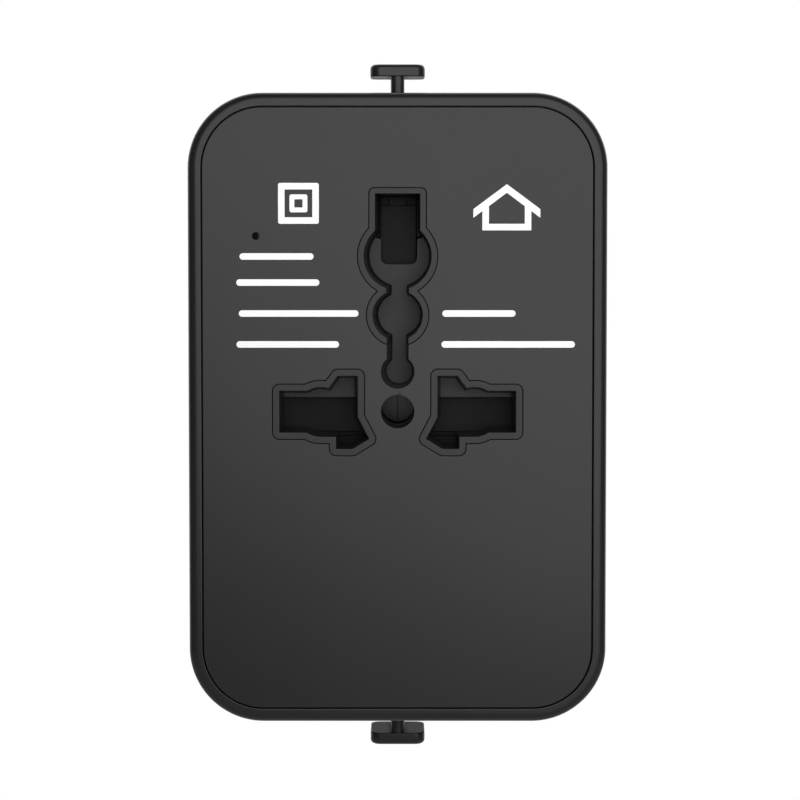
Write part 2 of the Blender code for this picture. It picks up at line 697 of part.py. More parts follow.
def make_knob(prefix, side):
    """A T-shaped knob: cap, stem and the shoulder that keeps it in. It starts as the upper one."""
    low = (-KNOB_HALF_WIDTH, KNOB_FRONT)
    high = (KNOB_HALF_WIDTH, KNOB_BACK)
    bottom, top = KNOB_TOP - KNOB_THICKNESS, KNOB_TOP
    z = sorted((side * bottom, side * top))
    knob = prism(f"{prefix}_knob", [rounded_rectangle(low, high, 1.3, 4)], z[0], z[1], "Z")
    round_edges(knob, 0.35, 2, lambda p: abs(abs(p.z) - top) < 0.01)
    z = sorted((side * 35.5, side * (bottom + 0.2)))
    stem_low, stem_high = (-STEM_HALF, KNOB_FRONT, z[0]), (STEM_HALF, KNOB_FRONT + STEM_LENGTH, z[1])
    stem = box(f"{prefix}_knob_stem", stem_low, stem_high)
    z = sorted((side * 34.9, side * 36.5))
    shoulder = box(f"{prefix}_knob_shoulder", (-2.2, KNOB_FRONT + 0.1, z[0]), (2.2, KNOB_FRONT + 5.0, z[1]))
    finish(join(knob, stem, shoulder), DARK_PLASTIC)
    z = sorted((side * (ARM_HIGH + 0.2), side * 34.7))
    spring = coil(f"{prefix}_knob_spring", (0, KNOB_FRONT + 2.5), 1.4, 0.17, z[0], z[1], 4)
    finish(spring, STEEL)
    carrier(f"{prefix}_knob_press", (0, KNOB_FRONT + 2.5, side * HALF_HEIGHT), [knob, spring])


def make_uk_set():
    """The C-shaped carriage leaves the middle free for the flat blades' carriage."""
    outline = [(-8, 15.5), (-8, 28), (17, 28), (17, -5), (-16.5, -5), (-16.5, 3.9), (12.1, 3.9), (12.1, 15.5)]
    half = (3.175, 2.0)
    earth_half = (2.0, 4.0)
    carriage = prism("uk_carriage", [moved(outline, ROW)], CARRIAGE_FRONT, CARRIAGE_BACK)
    finish(join(carriage, *knob_arm("uk", 1, 26.6)), BLACK_PLASTIC)
    cut(
        carriage,
        pin_hole("uk_live_hole", (UK_PIN_X, ROW), half),
        pin_hole("uk_neutral_hole", (-UK_PIN_X, ROW), half),
        pin_hole("uk_earth_hole", (0, UK_EARTH_Z), earth_half),
    )
    pieces = [carriage]
    for name, side in (("uk_live_pin", 1), ("uk_neutral_pin", -1)):
        pin = pin_box(name, (side * UK_PIN_X, ROW), half, 17.7 - UK_TRAVEL, 0.9)
        x = sorted((side * 8.1, side * (RAIL_X - 0.6)))
        tail = foot(f"{name}_foot", (x[0], ROW - 1.5), (x[1], ROW + 1.5))
        pieces.append(finish(join(pin, tail), NICKEL))
    earth = pin_box("uk_earth_pin", (0, UK_EARTH_Z), earth_half, 22.7 - UK_TRAVEL, 1.2)
    earth_foot = foot("uk_earth_pin_foot", (-1.9, UK_EARTH_Z + 1.5), (11.5, 28.6))
    pieces.append(finish(join(earth, earth_foot), NICKEL))
    carrier("uk_slide", (0, CARRIAGE_BACK, 0), pieces)


def make_eu_set():
    outline = rounded_rectangle((-14, -18), (14, -8.5), 1.5, 3)
    holes = [circle((side * EU_PIN_X, EU_PIN_Z), EU_PIN_RADIUS + PIN_GAP) for side in (-1, 1)]
    carriage = prism("eu_carriage", [outline, *holes], CARRIAGE_FRONT, CARRIAGE_BACK)
    pieces = [finish(join(carriage, *knob_arm("eu", -1, 16.9)), BLACK_PLASTIC)]
    tip = 19.0 - EU_TRAVEL
    r = EU_PIN_RADIUS
    rounded_tip = [(r * math.sin(a), tip - r * (1 - math.cos(a))) for a in (0, 0.4, 0.8, 1.2, math.pi / 2)]
    for name, side in (("eu_live_pin", 1), ("eu_neutral_pin", -1)):
        pin = turned(name, [*rounded_tip, (r, FOOT_FRONT), (0, FOOT_FRONT)], (side * EU_PIN_X, 0, EU_PIN_Z))
        x = sorted((side * 8.2, side * (RAIL_X - 0.6)))
        tail = foot(f"{name}_foot", (x[0], EU_PIN_Z - 1.2), (x[1], EU_PIN_Z + 1.2))
        pieces.append(finish(join(pin, tail), NICKEL))
    carrier("eu_slide", (0, CARRIAGE_BACK, 0), pieces)


def make_us_set():
    z = US_BLADE_Z
    outline = [(-23.0, z + 2.2), (-11.6, z + 2.2), (-11.6, z + 5.0), (11.6, z + 5.0)]
    outline += [(11.6, z - 5.6), (-11.6, z - 5.6), (-11.6, z - 2.2), (-23.0, z - 2.2)]
    holes = [circle((side * US_BLADE_X, z), ROTOR_RADIUS + PIN_GAP) for side in (-1, 1)]
    carriage = finish(prism("us_carriage", [outline, *holes], CARRIAGE_FRONT, CARRIAGE_BACK), BLACK_PLASTIC)
    face = -HALF_WIDTH + 0.45
    button = box("us_slider_button", (face, -37, z - 4.6), (-HALF_WIDTH + 0.9, -27, z + 4.6))
    ridges = []
    for number in range(5):
        y = -35.6 + 1.8 * number
        low, high = (face - 0.4, y - 0.4, z - 3.6), (face + 0.2, y + 0.4, z + 3.6)
        ridges.append(box(f"us_button_ridge_{number}", low, high))
    neck = box("us_button_neck", (face + 0.2, -29.5, z - 1.4), (-23.3, -26.5, z + 1.4))
    finish(join(button, neck, *ridges), DARK_PLASTIC)
    carrier("us_slide", (0, CARRIAGE_BACK, z), [carriage, button])
    flange = 4.7
    profile = [(0, -25.4), (ROTOR_RADIUS, -25.4), (ROTOR_RADIUS, -28.8)]
    profile += [(flange, -28.8), (flange, -29.2), (0, -29.2)]
    for name, side in (("us_live", 1), ("us_neutral", -1)):
        centre = (side * US_BLADE_X, z)
        rotor = turned(f"{name}_rotor", profile, (centre[0], 0, z))
        cut(rotor, pin_hole(f"{name}_rotor_slot", centre, US_BLADE_HALF))
        finish(rotor, BLACK_PLASTIC)
        blade = finish(pin_box(f"{name}_blade", centre, US_BLADE_HALF, 17.2 - US_TRAVEL, 0.5), NICKEL)
        carrier(f"{name}_turn", (centre[0], CARRIAGE_BACK, z), [rotor, blade])


# ---------------------------------------------------------------- surge protection and indicator


def make_surge_board():
    finish(box("surge_board", (-20, -49.5, -18.7), (20, -33.5, -17.1)), BOARD_GREEN)
    disc = [(0, 1.7), (4.2, 1.7), (5.0, 1.0), (5.0, -1.0), (4.2, -1.7), (0, -1.7)]
    for name, x in (("live_neutral", -13.0), ("live_earth", 0.0), ("neutral_earth", 13.0)):
        varistor = turned(f"varistor_{name}", disc, (x, -37.5, -24.4), steps=20)
        leads = []
        for side in (-1, 1):
            place = (x + side * 2.5, -37.5)
            leads.append(rod(f"varistor_{name}_lead_{side}", place, 0.4, -24.0, -19.0, "Z", 8))
        finish(join(varistor, *leads), VARISTOR_BLUE)
    y, z = -45.5, -22.6
    cap, tube_radius, half = 2.6, 2.3, 10.0
    ends = [(0, half), (cap, half), (cap, half - 5), (tube_radius, half - 5)]
    profile = ends + [(r, -x) for r, x in reversed(ends)]
    finish(turned("fuse", profile, (0, y, z), "X", 20), CERAMIC)
    for name, side in (("left", -1), ("right", 1)):
        x = sorted((side * 6.0, side * 9.0))
        front_leaf = [(y - 2.6, z - 2.6), (y - 3.1, z), (y - 3.1, -19.2)]
        line = front_leaf + [(2 * y - v, w) for v, w in reversed(front_leaf)]
        finish(prism(f"fuse_clip_{name}", [ribbon(line, 0.4)], x[0], x[1], "X"), BRASS)
    finish(rod("thermal_cutoff", (-45.5, -21.2), 1.9, 12.0, 19.0, "X", 16), STEEL)


def make_indicator():
    finish(rod("led_light_pipe", (LED_X, LED_Z), 1.2, -52.9, -47.0, steps=16), CLEAR)
    dome = [(0, 1.9), (0.9, 1.6), (1.5, 0.6), (1.5, -2.2), (1.8, -2.2), (1.8, -3.0), (0, -3.0)]
    led = turned("power_led", [(r, -h) for r, h in reversed(dome)], (LED_X, -44.8, LED_Z), steps=16)
    finish(led, LED_RED)
    finish(box("led_board", (-21, -41.4, 17.5), (-13.5, -40.2, 25.3)), BOARD_GREEN)
    for name, x, look in (("live", -18.3, WIRE_BROWN), ("neutral", -20.0, WIRE_BLUE)):
        route = [(x, -41.9, 19.5), (x, -42.6, 17.5), (x, -43.2, 12)]
        route += [(x, -43.5, 2), (x, -43.2, -10), (x, -43.0, -16.4)]
        finish(tube(f"led_lead_{name}", route, 0.45), look)


make_main_shell()
make_rear_cover()
make_case_screws()
make_face_plate()
make_socket_core()
make_contact_block()
make_shutter()
make_earth_flap()
make_side_contact("live_contact", 1)
make_side_contact("neutral_contact", -1)
make_earth_contact()
make_busbars()
make_divider()
make_uk_set()
make_eu_set()
make_us_set()
make_knob("uk", 1)
make_knob("eu", -1)
make_surge_board()
make_indicator()
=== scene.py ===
"""The looks of the universal travel adapter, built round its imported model.

Lengths are in millimetres and MM turns them into metres. Outlines on the socket face are (x, z) points.
"""

import json
import math

import bmesh
import bpy
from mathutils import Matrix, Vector


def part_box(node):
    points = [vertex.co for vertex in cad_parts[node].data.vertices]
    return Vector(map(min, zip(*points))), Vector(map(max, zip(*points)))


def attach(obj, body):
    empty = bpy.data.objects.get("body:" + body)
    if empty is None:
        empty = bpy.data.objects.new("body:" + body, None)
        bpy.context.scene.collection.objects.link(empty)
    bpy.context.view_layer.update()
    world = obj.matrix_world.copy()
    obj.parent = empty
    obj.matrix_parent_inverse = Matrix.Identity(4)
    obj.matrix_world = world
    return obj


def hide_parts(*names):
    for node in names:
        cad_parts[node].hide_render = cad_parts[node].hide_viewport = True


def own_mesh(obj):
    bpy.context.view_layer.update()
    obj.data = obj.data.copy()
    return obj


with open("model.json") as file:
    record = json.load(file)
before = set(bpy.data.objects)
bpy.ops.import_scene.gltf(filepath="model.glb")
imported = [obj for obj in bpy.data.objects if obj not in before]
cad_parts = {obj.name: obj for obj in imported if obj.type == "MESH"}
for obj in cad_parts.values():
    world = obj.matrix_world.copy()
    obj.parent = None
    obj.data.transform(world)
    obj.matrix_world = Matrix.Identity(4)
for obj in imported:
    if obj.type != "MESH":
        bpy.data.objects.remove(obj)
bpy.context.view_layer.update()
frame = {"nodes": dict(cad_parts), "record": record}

MM = 0.001


def node_box(node):
    """The lowest and highest corner of a CAD node, in millimetres."""
    low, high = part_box(node)
    return low / MM, high / MM


# ---------------------------------------------------------------- sizes, from the frame

SHELL_LOW, SHELL_HIGH = node_box("main_shell")
PLATE_LOW, PLATE_HIGH = node_box("face_plate")
COVER_LOW, COVER_HIGH = node_box("rear_cover")
BLOCK_LOW, BLOCK_HIGH = node_box("contact_block")
UK_PIN_LOW, UK_PIN_HIGH = node_box("uk_live_pin")

HALF_WIDTH = SHELL_HIGH.x
HALF_HEIGHT = SHELL_HIGH.z
FRONT = SHELL_LOW.y
SEAM = SHELL_HIGH.y
PLATE_FRONT = PLATE_LOW.y
PLATE_BACK = PLATE_HIGH.y
CORE_BACK = node_box("socket_core")[1].y
ROW = (UK_PIN_LOW.z + UK_PIN_HIGH.z) / 2  # height of the live and neutral apertures

# ---------------------------------------------------------------- sizes, of the looks

# housing
CORNER_RADIUS = 9.2
EDGE = 1.1  # radius of the housing's front edge
WALL = 2.0
PLATE_LEDGE = 3.2  # how far in the ledge behind the face plate reaches
BEZEL = HALF_WIDTH - PLATE_HIGH.x - 0.08
PLATE_INSET = HALF_WIDTH - PLATE_HIGH.x + 0.06
US_TRACK = (-37.4, -8.6)  # ends of the recess that the US slider runs in
US_TRACK_HALF = 5.0
US_TRACK_DEPTH = 1.1
US_SLOT = (-29.9, -8.1)  # ends of the slot through that recess
US_SLOT_HALF = 1.8
SCREW_X, SCREW_Z, SCREW_RECESS = 20.6, 33.2, 2.35

# socket face
FACE_EDGE = 0.08  # rounding of the front edges of the face plate and the collars
HOLE_RIM = 0.06  # rounding of the rims of the holes in the face plate
COLLAR = 0.85  # width of the collars round the live and neutral apertures
EARTH_COLLAR = 0.76
HAIRLINE = 0.06  # gap between a collar and the face plate
DRAFT = 0.5  # how much the apertures narrow from front to back
KEYHOLE_DRAFT = 0.1  # how much the keyhole narrows on each side, in mm per mm of depth
KEYHOLE_LEAN = 0.06  # how much it leans to the right, in mm per mm of depth
KEYHOLE_FILLET = 0.4  # radius from its walls into its floor
KEYHOLE_OVERRUN = 0.12  # how far its cutter runs past the floor
SLOT_HALF = 1.31  # half the width of the slot below the keyhole
HOLE_RADIUS = 2.04  # of the centre hole and of the upper round hole
UPPER_HOLE = 4.9  # height of the upper round hole above the row
HOLE_BACK = FRONT + 12.7
HOLE_SEAM = 0.05  # half the gap between the two halves of the centre hole's floor
LED_RADIUS = 0.46

# behind the face
CORE_HALF_WIDTH, CORE_BOTTOM, CORE_TOP = 17.2, ROW - 7.2, ROW + 29.4
CHAMBER_FRONT, CHAMBER_BACK = -47.0, -33.2
CHAMBER_INNER, CHAMBER_OUTER, CHAMBER_HALF = 3.3, 15.6, 5.2
EARTH_CHAMBER_BOTTOM, POCKET_TOP = ROW + 17.3, ROW + 28
RECESS_FRONT = -49.4  # of the flap's recess and the shutter's track
WINDOW_SHIFT = 0.17  # the earth window stands this much right of the middle
SHUTTER_FRONT = -49.1
SHUTTER_STEP = ROW + 1.5
SHUTTER_BOTTOM = ROW - 2.9
SHUTTER_INNER, SHUTTER_OUTER = 3.3, 15.4
SKIRT_OUTER = 8.6
TRACK_HALF_WIDTH, TRACK_BOTTOM, TRACK_TOP = 15.8, -15.0, ROW + 5.3
FLAP_LEFT, FLAP_RIGHT = -2.17, 2.33
FLAP_BOTTOM = ROW + 17.65
FLAP_AXIS_Y, FLAP_AXIS_Z = -48.9, ROW + 27.0
FLAP_SHOULDER, FLAP_BEAM = ROW + 25.4, ROW + 26.2
CHEEK = 0.52  # width of the fixed cheek at each side of the flap

# knobs and slider
UK_TRAVEL, EU_TRAVEL = 23.1, 19.5
CAP_HEIGHT = 1.5
CAP_EDGE = 0.6  # rounding of a cap's outer edge
CAP_DISH = 0.32  # depth of the hollow in its face
STEM_HALF, STEM_DEPTH = 0.85, 3.0
STEM_GAP = 0.25  # between a stem and the sides of its slot
RIDGES, RIDGE_PITCH = 5, 1.8

# pins
UK_PIN_X, UK_PIN_HALF = 11.1, (3.175, 2.0)
UK_EARTH_Z, UK_EARTH_HALF = ROW + 22.2, (2.0, 4.0)
EU_PIN_X, EU_PIN_Z, EU_PIN_RADIUS = 9.5, -13.3, 2.0
EU_SLEEVE = (-22.0, -9.5)
US_PIN_X, US_PIN_HALF = 6.35, (0.75, 3.175)
US_Z = ROW + 10.0
US_TURN = 30.0  # degrees that a blade turns
PIN_GAP = 0.4  # between a pin and its hole in the rear cover
FOOT_OUTER = 22.0  # how far out the pins' feet reach

# stage, light and camera, with places in metres
FLOOR_HEIGHT = -0.45
FLOOR_HALF = 1.9
FRONT_SHADE, BACK_SHADE = 0.1, 1.6  # strength of the world's light before and behind the object
SHADE_START, SHADE_END = 0.1, 0.8  # where it changes, as a share of the way towards the back
KEY_X, KEY_Z, KEY_DISTANCE = 0.07, 0.107, 0.2
KEY_SIZE, KEY_POWER = 0.34, 0.77
WASH_HEIGHT, WASH_SIZE, WASH_POWER = 0.3, 3.4, 7.0
CAMERA_DISTANCE = 350.0 * MM
CAMERA_ELEVATION = 3.5  # degrees
CAMERA_AIM = Vector((0.3, FRONT, 1.16)) * MM
LENS, SENSOR = 128.0, 36.0  # focal length and sensor width, in millimetres

# ---------------------------------------------------------------- outlines


def arc(centre, radius, start, end, steps):
    angles = [math.radians(start + (end - start) * i / steps) for i in range(steps + 1)]
    return [(centre[0] + radius * math.cos(a), centre[1] + radius * math.sin(a)) for a in angles]


def circle(centre, radius, steps):
    return arc(centre, radius, 0, 360 - 360 / steps, steps - 1)


def rounded_rectangle(low, high, radius, steps=8):
    radius = max(radius, 0.01)
    corners = [
        (high[0] - radius, high[1] - radius, 0),
        (low[0] + radius, high[1] - radius, 90),
        (low[0] + radius, low[1] + radius, 180),
        (high[0] - radius, low[1] + radius, 270),
    ]
    points = []
    for u, v, start in corners:
        points += arc((u, v), radius, start, start + 90, steps)
    return points


def rectangle_shape(low, high, radius, steps=8):
    """A rounded rectangle as a function of how far it is inset."""

    def shape(inset):
        inner_low = (low[0] + inset, low[1] + inset)
        inner_high = (high[0] - inset, high[1] - inset)
        return rounded_rectangle(inner_low, inner_high, radius - inset, steps)

    return shape


def rectangle_round(centre, half, grow, radius, steps):
    """A rounded rectangle from its centre and half sizes, grown by a distance."""
    low = (centre[0] - half[0] - grow, centre[1] - half[1] - grow)
    high = (centre[0] + half[0] + grow, centre[1] + half[1] + grow)
    return rectangle_shape(low, high, radius, steps)


def circle_shape(centre, radius, steps):
    return lambda inset: circle(centre, radius - inset, steps)


def body_shape(inset):
    low = (-HALF_WIDTH + inset, -HALF_HEIGHT + inset)
    high = (HALF_WIDTH - inset, HALF_HEIGHT - inset)
    return rounded_rectangle(low, high, CORNER_RADIUS - inset, 24)


def span(side, inner, outer):
    """A range beside the middle, on the side that is asked for."""
    return sorted((side * inner, side * outer))


def mirrored(points):
    return [(-x, z) for x, z in points]


def moved(points):
    """Points whose heights were measured from the row, in the frame."""
    return [(x, z + ROW) for x, z in points]


def area_of(points):
    return sum(a[0] * b[1] - b[0] * a[1] for a, b in zip(points, points[1:] + points[:1])) / 2


def offset(points, distance):
    """The closed outline grown by a distance, with mitred corners."""
    side = 1 if area_of(points) < 0 else -1
    result = []
    for i, here in enumerate(points):
        before = (Vector(here) - Vector(points[i - 1])).normalized()
        after = (Vector(points[(i + 1) % len(points)]) - Vector(here)).normalized()
        normal_a = Vector((-before.y, before.x)) * side
        normal_b = Vector((-after.y, after.x)) * side
        mitre = (normal_a + normal_b) / (1 + normal_a.dot(normal_b))
        result.append(tuple(Vector(here) + mitre * distance))
    return result


def grown(points, distance):
    """The closed outline grown by a distance, round at its outward corners and trimmed at its inward ones."""
    spacing, widest_turn, tolerance = 0.12, 0.16, 0.002
    points = [Vector(here) for here in points]
    edges = list(zip(points, points[1:] + points[:1]))
    side = 1 if area_of(points) < 0 else -1
    normals = [Vector((start.y - end.y, end.x - start.x)).normalized() * side for start, end in edges]
    candidates = []
    for i, (start, end) in enumerate(edges):
        before, normal = normals[i - 1], normals[i]
        turn = math.atan2(before.x * normal.y - before.y * normal.x, before.dot(normal))
        if turn * side < 0:
            first = math.degrees(math.atan2(before.y, before.x))
            steps = max(1, round(abs(turn) / widest_turn))
            corner = arc(start, distance, first, first + math.degrees(turn), steps)
            candidates += [Vector(point) for point in corner]
        count = max(1, round((end - start).length / spacing))
        candidates += [start + (end - start) * step / count + normal * distance for step in range(count + 1)]
    kept = []
    for point in candidates:
        if min(distance_to_edge(point, *edge) for edge in edges) > distance - tolerance:
            kept.append(point)
    return [tuple(point) for i, point in enumerate(kept) if (point - kept[i - 1]).length > 0.01]


def distance_to_edge(point, start, end):
    along = end - start
    share = max(0.0, min(1.0, (point - start).dot(along) / along.length_squared))
    return (point - start - along * share).length


def softened(points, radius):
    """The outline with every corner that turns more than a limit rounded, as far as its sides allow."""
    steps, least_turn = 6, 18.0
    points = [here for i, here in enumerate(points) if math.dist(here, points[i - 1]) > 1e-4]
    result = []
    for i, here in enumerate(points):
        here = Vector(here)
        back = Vector(points[i - 1]) - here
        ahead = Vector(points[(i + 1) % len(points)]) - here
        turn = math.pi - back.angle(ahead)
        if math.degrees(turn) < least_turn:
            result.append(tuple(here))
            continue
        reach = min(radius * math.tan(turn / 2), back.length * 0.48, ahead.length * 0.48)
        start, end = here + back.normalized() * reach, here + ahead.normalized() * reach
        for step in range(steps + 1):
            t = step / steps
            result.append(tuple(start * (1 - t) ** 2 + here * 2 * t * (1 - t) + end * t**2))
    return result


def side_aperture():
    """The live aperture, right of the centre, measured from the row."""
    return [
        (4.94, -0.66),
        (4.94, 4.38),
        (7.38, 4.38),
        *arc((9.5, 0), 3.0, 109.5, 57.5, 12),
        (14.55, 2.53),
        (14.55, -2.56),
        *arc((9.5, -0.08), 3.0, -55.8, -90, 8),
        (7.56, -3.08),
        (7.56, -4.58),
        (5.55, -4.58),
        (3.54, -3.36),
    ]


def keyhole_side(grow):
    """Right side of the earth keyhole from its top down to where the slot begins, grown by a distance."""
    steps = 20
    half_top, top = 2.755 + grow, 26.79 + grow * 0.95
    large, small = 4.16 + grow, 3.07 + grow
    small_z, large_z = 11.89, 19.14
    neck = 1.40 + grow
    gap = large_z - small_z
    large_start = math.degrees(math.acos(half_top / large))
    small_end = -math.degrees(math.acos(SLOT_HALF / small))
    if math.sqrt(large**2 - neck**2) + math.sqrt(small**2 - neck**2) < gap:
        large_end = -math.degrees(math.acos(neck / large))
        small_start = math.degrees(math.acos(neck / small))
    else:
        meet = (gap**2 + small**2 - large**2) / (2 * gap)
        small_start = math.degrees(math.asin(meet / small))
        large_end = -math.degrees(math.asin((gap - meet) / large))
    return [
        (half_top, top),
        *arc((0, large_z), large, large_start, large_end, steps),
        *arc((0, small_z), small, small_start, small_end, steps),
    ]


def slot_side():
    """Right side of the upper round hole, from where the slot above it ends."""
    start = math.degrees(math.acos(SLOT_HALF / HOLE_RADIUS))
    return arc((0, UPPER_HOLE), HOLE_RADIUS, start, -90, 16)


def closed(side):
    """A whole outline from its right side, which starts at the top."""
    return side + [(-x, z) for x, z in reversed(side) if x > 1e-6]


# ---------------------------------------------------------------- mesh work


def placed(axis, u, v, w):
    return {"X": (w, u, v), "Y": (u, w, v), "Z": (u, v, w)}[axis]


def linked(name, data):
    """A new object in the scene that shows the data."""
    made = bpy.data.objects.new(name, data)
    bpy.context.scene.collection.objects.link(made)
    return made


def from_bmesh(name, work, outward=True):
    if outward:
        bmesh.ops.recalc_face_normals(work, faces=work.faces)
    mesh = bpy.data.meshes.new(name)
    work.to_mesh(mesh)
    work.free()
    return linked(name, mesh)


def skinned(name, work, rows):
    """A closed solid over rows of vertices that are rings."""
    for first, second in zip(rows, rows[1:]):
        for i in range(len(first)):
            j = (i + 1) % len(first)
            work.faces.new((first[i], first[j], second[j], second[i]))
    work.faces.new(rows[0])
    work.faces.new(rows[-1])
    return from_bmesh(name, work)


def loft(name, rings, axis="Y"):
    """A closed solid through rings, each an outline and its place along the axis."""
    work = bmesh.new()
    rows = []
    for outline, place in rings:
        rows.append([work.verts.new(Vector(placed(axis, u, v, place)) * MM) for u, v in outline])
    return skinned(name, work, rows)


def rounding(radius, steps):
    """(depth, inset) pairs of a rounded edge, from the end face inwards."""
    angles = [math.pi / 2 * i / steps for i in range(steps + 1)]
    return [(radius * (1 - math.cos(a)), radius * (1 - math.sin(a))) for a in angles]


def slab(name, shape, start, end, axis="Y", start_radius=0.0, end_radius=0.0, steps=5):
    """A solid between two places on an axis, with its two ends' edges rounded."""
    first = rounding(start_radius, steps) if start_radius else [(0.0, 0.0)]
    last = rounding(end_radius, steps) if end_radius else [(0.0, 0.0)]
    rings = [(shape(inset), start + depth) for depth, inset in first]
    rings += [(shape(inset), end - depth) for depth, inset in reversed(last)]
    return loft(name, rings, axis)


def mouth(name, shape, surface, bottom, axis="Y", flare=0.25, steps=4, taper=0.0, fillet=0.0):
    """A cutter for a hole with a rounded rim, which may narrow towards the bottom and be rounded into it."""
    way = 1 if bottom > surface else -1
    rings = [(shape(-flare), surface - way), (shape(-flare), surface)]
    for i in range(1, steps + 1):
        depth = flare * i / steps
        inset = math.sqrt(flare**2 - (flare - depth) ** 2) - flare
        rings.append((shape(inset), surface + way * depth))
    last = rounding(fillet, 6) if fillet else [(0.0, 0.0)]
    rings += [(shape(taper + inset), bottom - way * depth) for depth, inset in reversed(last)]
    return loft(name, rings, axis)


def plate(name, outlines, start, end, radius):
    """A flat plate across Y with holes, its edges all cut off by the same small radius."""
    curve = bpy.data.curves.new(name, "CURVE")
    curve.dimensions = "2D"
    curve.fill_mode = "BOTH"
    curve.extrude = ((end - start) / 2 - radius) * MM
    curve.bevel_depth = radius * MM
    curve.bevel_resolution = 0
    curve.offset = -radius * MM
    for outline in outlines:
        spline = curve.splines.new("POLY")
        spline.points.add(len(outline) - 1)
        for point, (u, v) in zip(spline.points, outline):
            point.co = (u * MM, v * MM, 0, 1)
        spline.use_cyclic_u = True
    made = linked(name, curve)
    made.location = (0, (start + end) / 2 * MM, 0)
    made.rotation_euler = (math.pi / 2, 0, 0)
    return baked(made)


def baked(source):
    """The object's evaluated mesh as a new object at the origin. The source is removed."""
    bpy.context.view_layer.update()
    evaluated = source.evaluated_get(bpy.context.evaluated_depsgraph_get())
    mesh = bpy.data.meshes.new_from_object(evaluated)
    mesh.transform(source.matrix_world)
    name = source.name
    bpy.data.objects.remove(source)
    work = bmesh.new()
    work.from_mesh(mesh)
    bmesh.ops.remove_doubles(work, verts=work.verts, dist=0.0005 * MM)
    bpy.data.meshes.remove(mesh)
    return from_bmesh(name, work)


def carved(target, *cutters):
    """The target with the cutters taken from it."""
    for cutter in cutters:
        step = target.modifiers.new(cutter.name, "BOOLEAN")
        step.operation = "DIFFERENCE"
        step.solver = "EXACT"
        step.object = cutter
    result = baked(target)
    for cutter in cutters:
        bpy.data.objects.remove(cutter)
    return result


def joined(*objects):
    """Closed solids that overlap or sit apart, as one object."""
    name = objects[0].name
    work = bmesh.new()
    for source in objects:
        work.from_mesh(source.data)
    for source in objects:
        bpy.data.objects.remove(source)
    return from_bmesh(name, work, outward=False)


def smooth(target, angle):
    """Smooth shading up to an angle in degrees."""
    target.data.shade_smooth()
    target.data.set_sharp_from_angle(angle=math.radians(angle))


def block(name, low, high, radius=0.1, axis="Z"):
    """A box with rounded edges."""
    u, v, w = {"Y": (0, 2, 1), "Z": (0, 1, 2)}[axis]
    shape = rectangle_shape((low[u], low[v]), (high[u], high[v]), radius, 3)
    return slab(name, shape, low[w], high[w], axis, radius * 0.9, radius * 0.9, 3)


def piece(target, look, body, slot, *replaced):
    """Gives a piece its material and its body, and hides the CAD nodes that it stands for. The slot is not
    used.
    """
    target.data.materials.clear()
    target.data.materials.append(look)
    smooth(target, 32)
    weighted = target.modifiers.new("flat faces", "WEIGHTED_NORMAL")
    weighted.weight = 100
    weighted.keep_sharp = True
    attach(target, body)
    if replaced:
        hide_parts(*replaced)
    return target


# ---------------------------------------------------------------- materials


def material(name):
    made = bpy.data.materials.new(name)
    made.use_nodes = True
    return made, made.node_tree, made.node_tree.nodes["Principled BSDF"]


def noise(tree, coordinates, scale, detail=3.0, stretch=None):
    """A noise texture over the object's own coordinates, stretched along an axis if asked."""
    source = coordinates
    if stretch:
        mapping = tree.nodes.new("ShaderNodeMapping")
        mapping.inputs["Scale"].default_value = stretch
        tree.links.new(coordinates, mapping.inputs["Vector"])
        source = mapping.outputs["Vector"]
    texture = tree.nodes.new("ShaderNodeTexNoise")
    texture.inputs["Scale"].default_value = scale
    texture.inputs["Detail"].default_value = detail
    tree.links.new(source, texture.inputs["Vector"])
    return texture.outputs["Fac"]


def ranged(tree, value, low, high):
    """The texture's middle range spread between two values."""
    node = tree.nodes.new("ShaderNodeMapRange")
    node.inputs["From Min"].default_value = 0.3
    node.inputs["From Max"].default_value = 0.7
    node.inputs["To Min"].default_value = low
    node.inputs["To Max"].default_value = high
    tree.links.new(value, node.inputs["Value"])
    return node.outputs["Result"]


def mixed(tree, value, first, second):
    ramp = tree.nodes.new("ShaderNodeValToRGB")
    ramp.color_ramp.elements[0].position = 0.3
    ramp.color_ramp.elements[0].color = (*first, 1)
    ramp.color_ramp.elements[1].position = 0.7
    ramp.color_ramp.elements[1].color = (*second, 1)
    tree.links.new(value, ramp.inputs["Fac"])
    return ramp.outputs["Color"]


def bumped(tree, value, distance):
    bump = tree.nodes.new("ShaderNodeBump")
    bump.inputs["Distance"].default_value = distance * MM
    bump.inputs["Strength"].default_value = 1.0
    tree.links.new(value, bump.inputs["Height"])
    return bump.outputs["Normal"]


def surface(name, first, second, roughness, grain, depth, metallic=0.0, stretch=None, specular=0.5):
    """Two close colours in broad patches, a roughness that varies, and a fine moulded or drawn grain."""
    made, tree, shader = material(name)
    coordinates = tree.nodes.new("ShaderNodeTexCoord").outputs["Object"]
    broad = noise(tree, coordinates, 60.0, 2.0)
    fine = noise(tree, coordinates, grain, 3.0, stretch)
    tree.links.new(mixed(tree, broad, first, second), shader.inputs["Base Color"])
    tree.links.new(ranged(tree, fine, roughness[0], roughness[1]), shader.inputs["Roughness"])
    tree.links.new(bumped(tree, fine, depth), shader.inputs["Normal"])
    shader.inputs["Metallic"].default_value = metallic
    shader.inputs["Specular IOR Level"].default_value = specular
    return made


def moulding(name, dark, light, roughness, specular, grain=5200, depth=0.001, blue=0.0005):
    """A black plastic between two greys with a trace of blue."""
    first = (dark, dark, dark + blue)
    second = (light, light, light + blue)
    return surface(name, first, second, roughness, grain, depth, specular=specular)


SHEEN = 0.27  # specular level of the outer black plastics

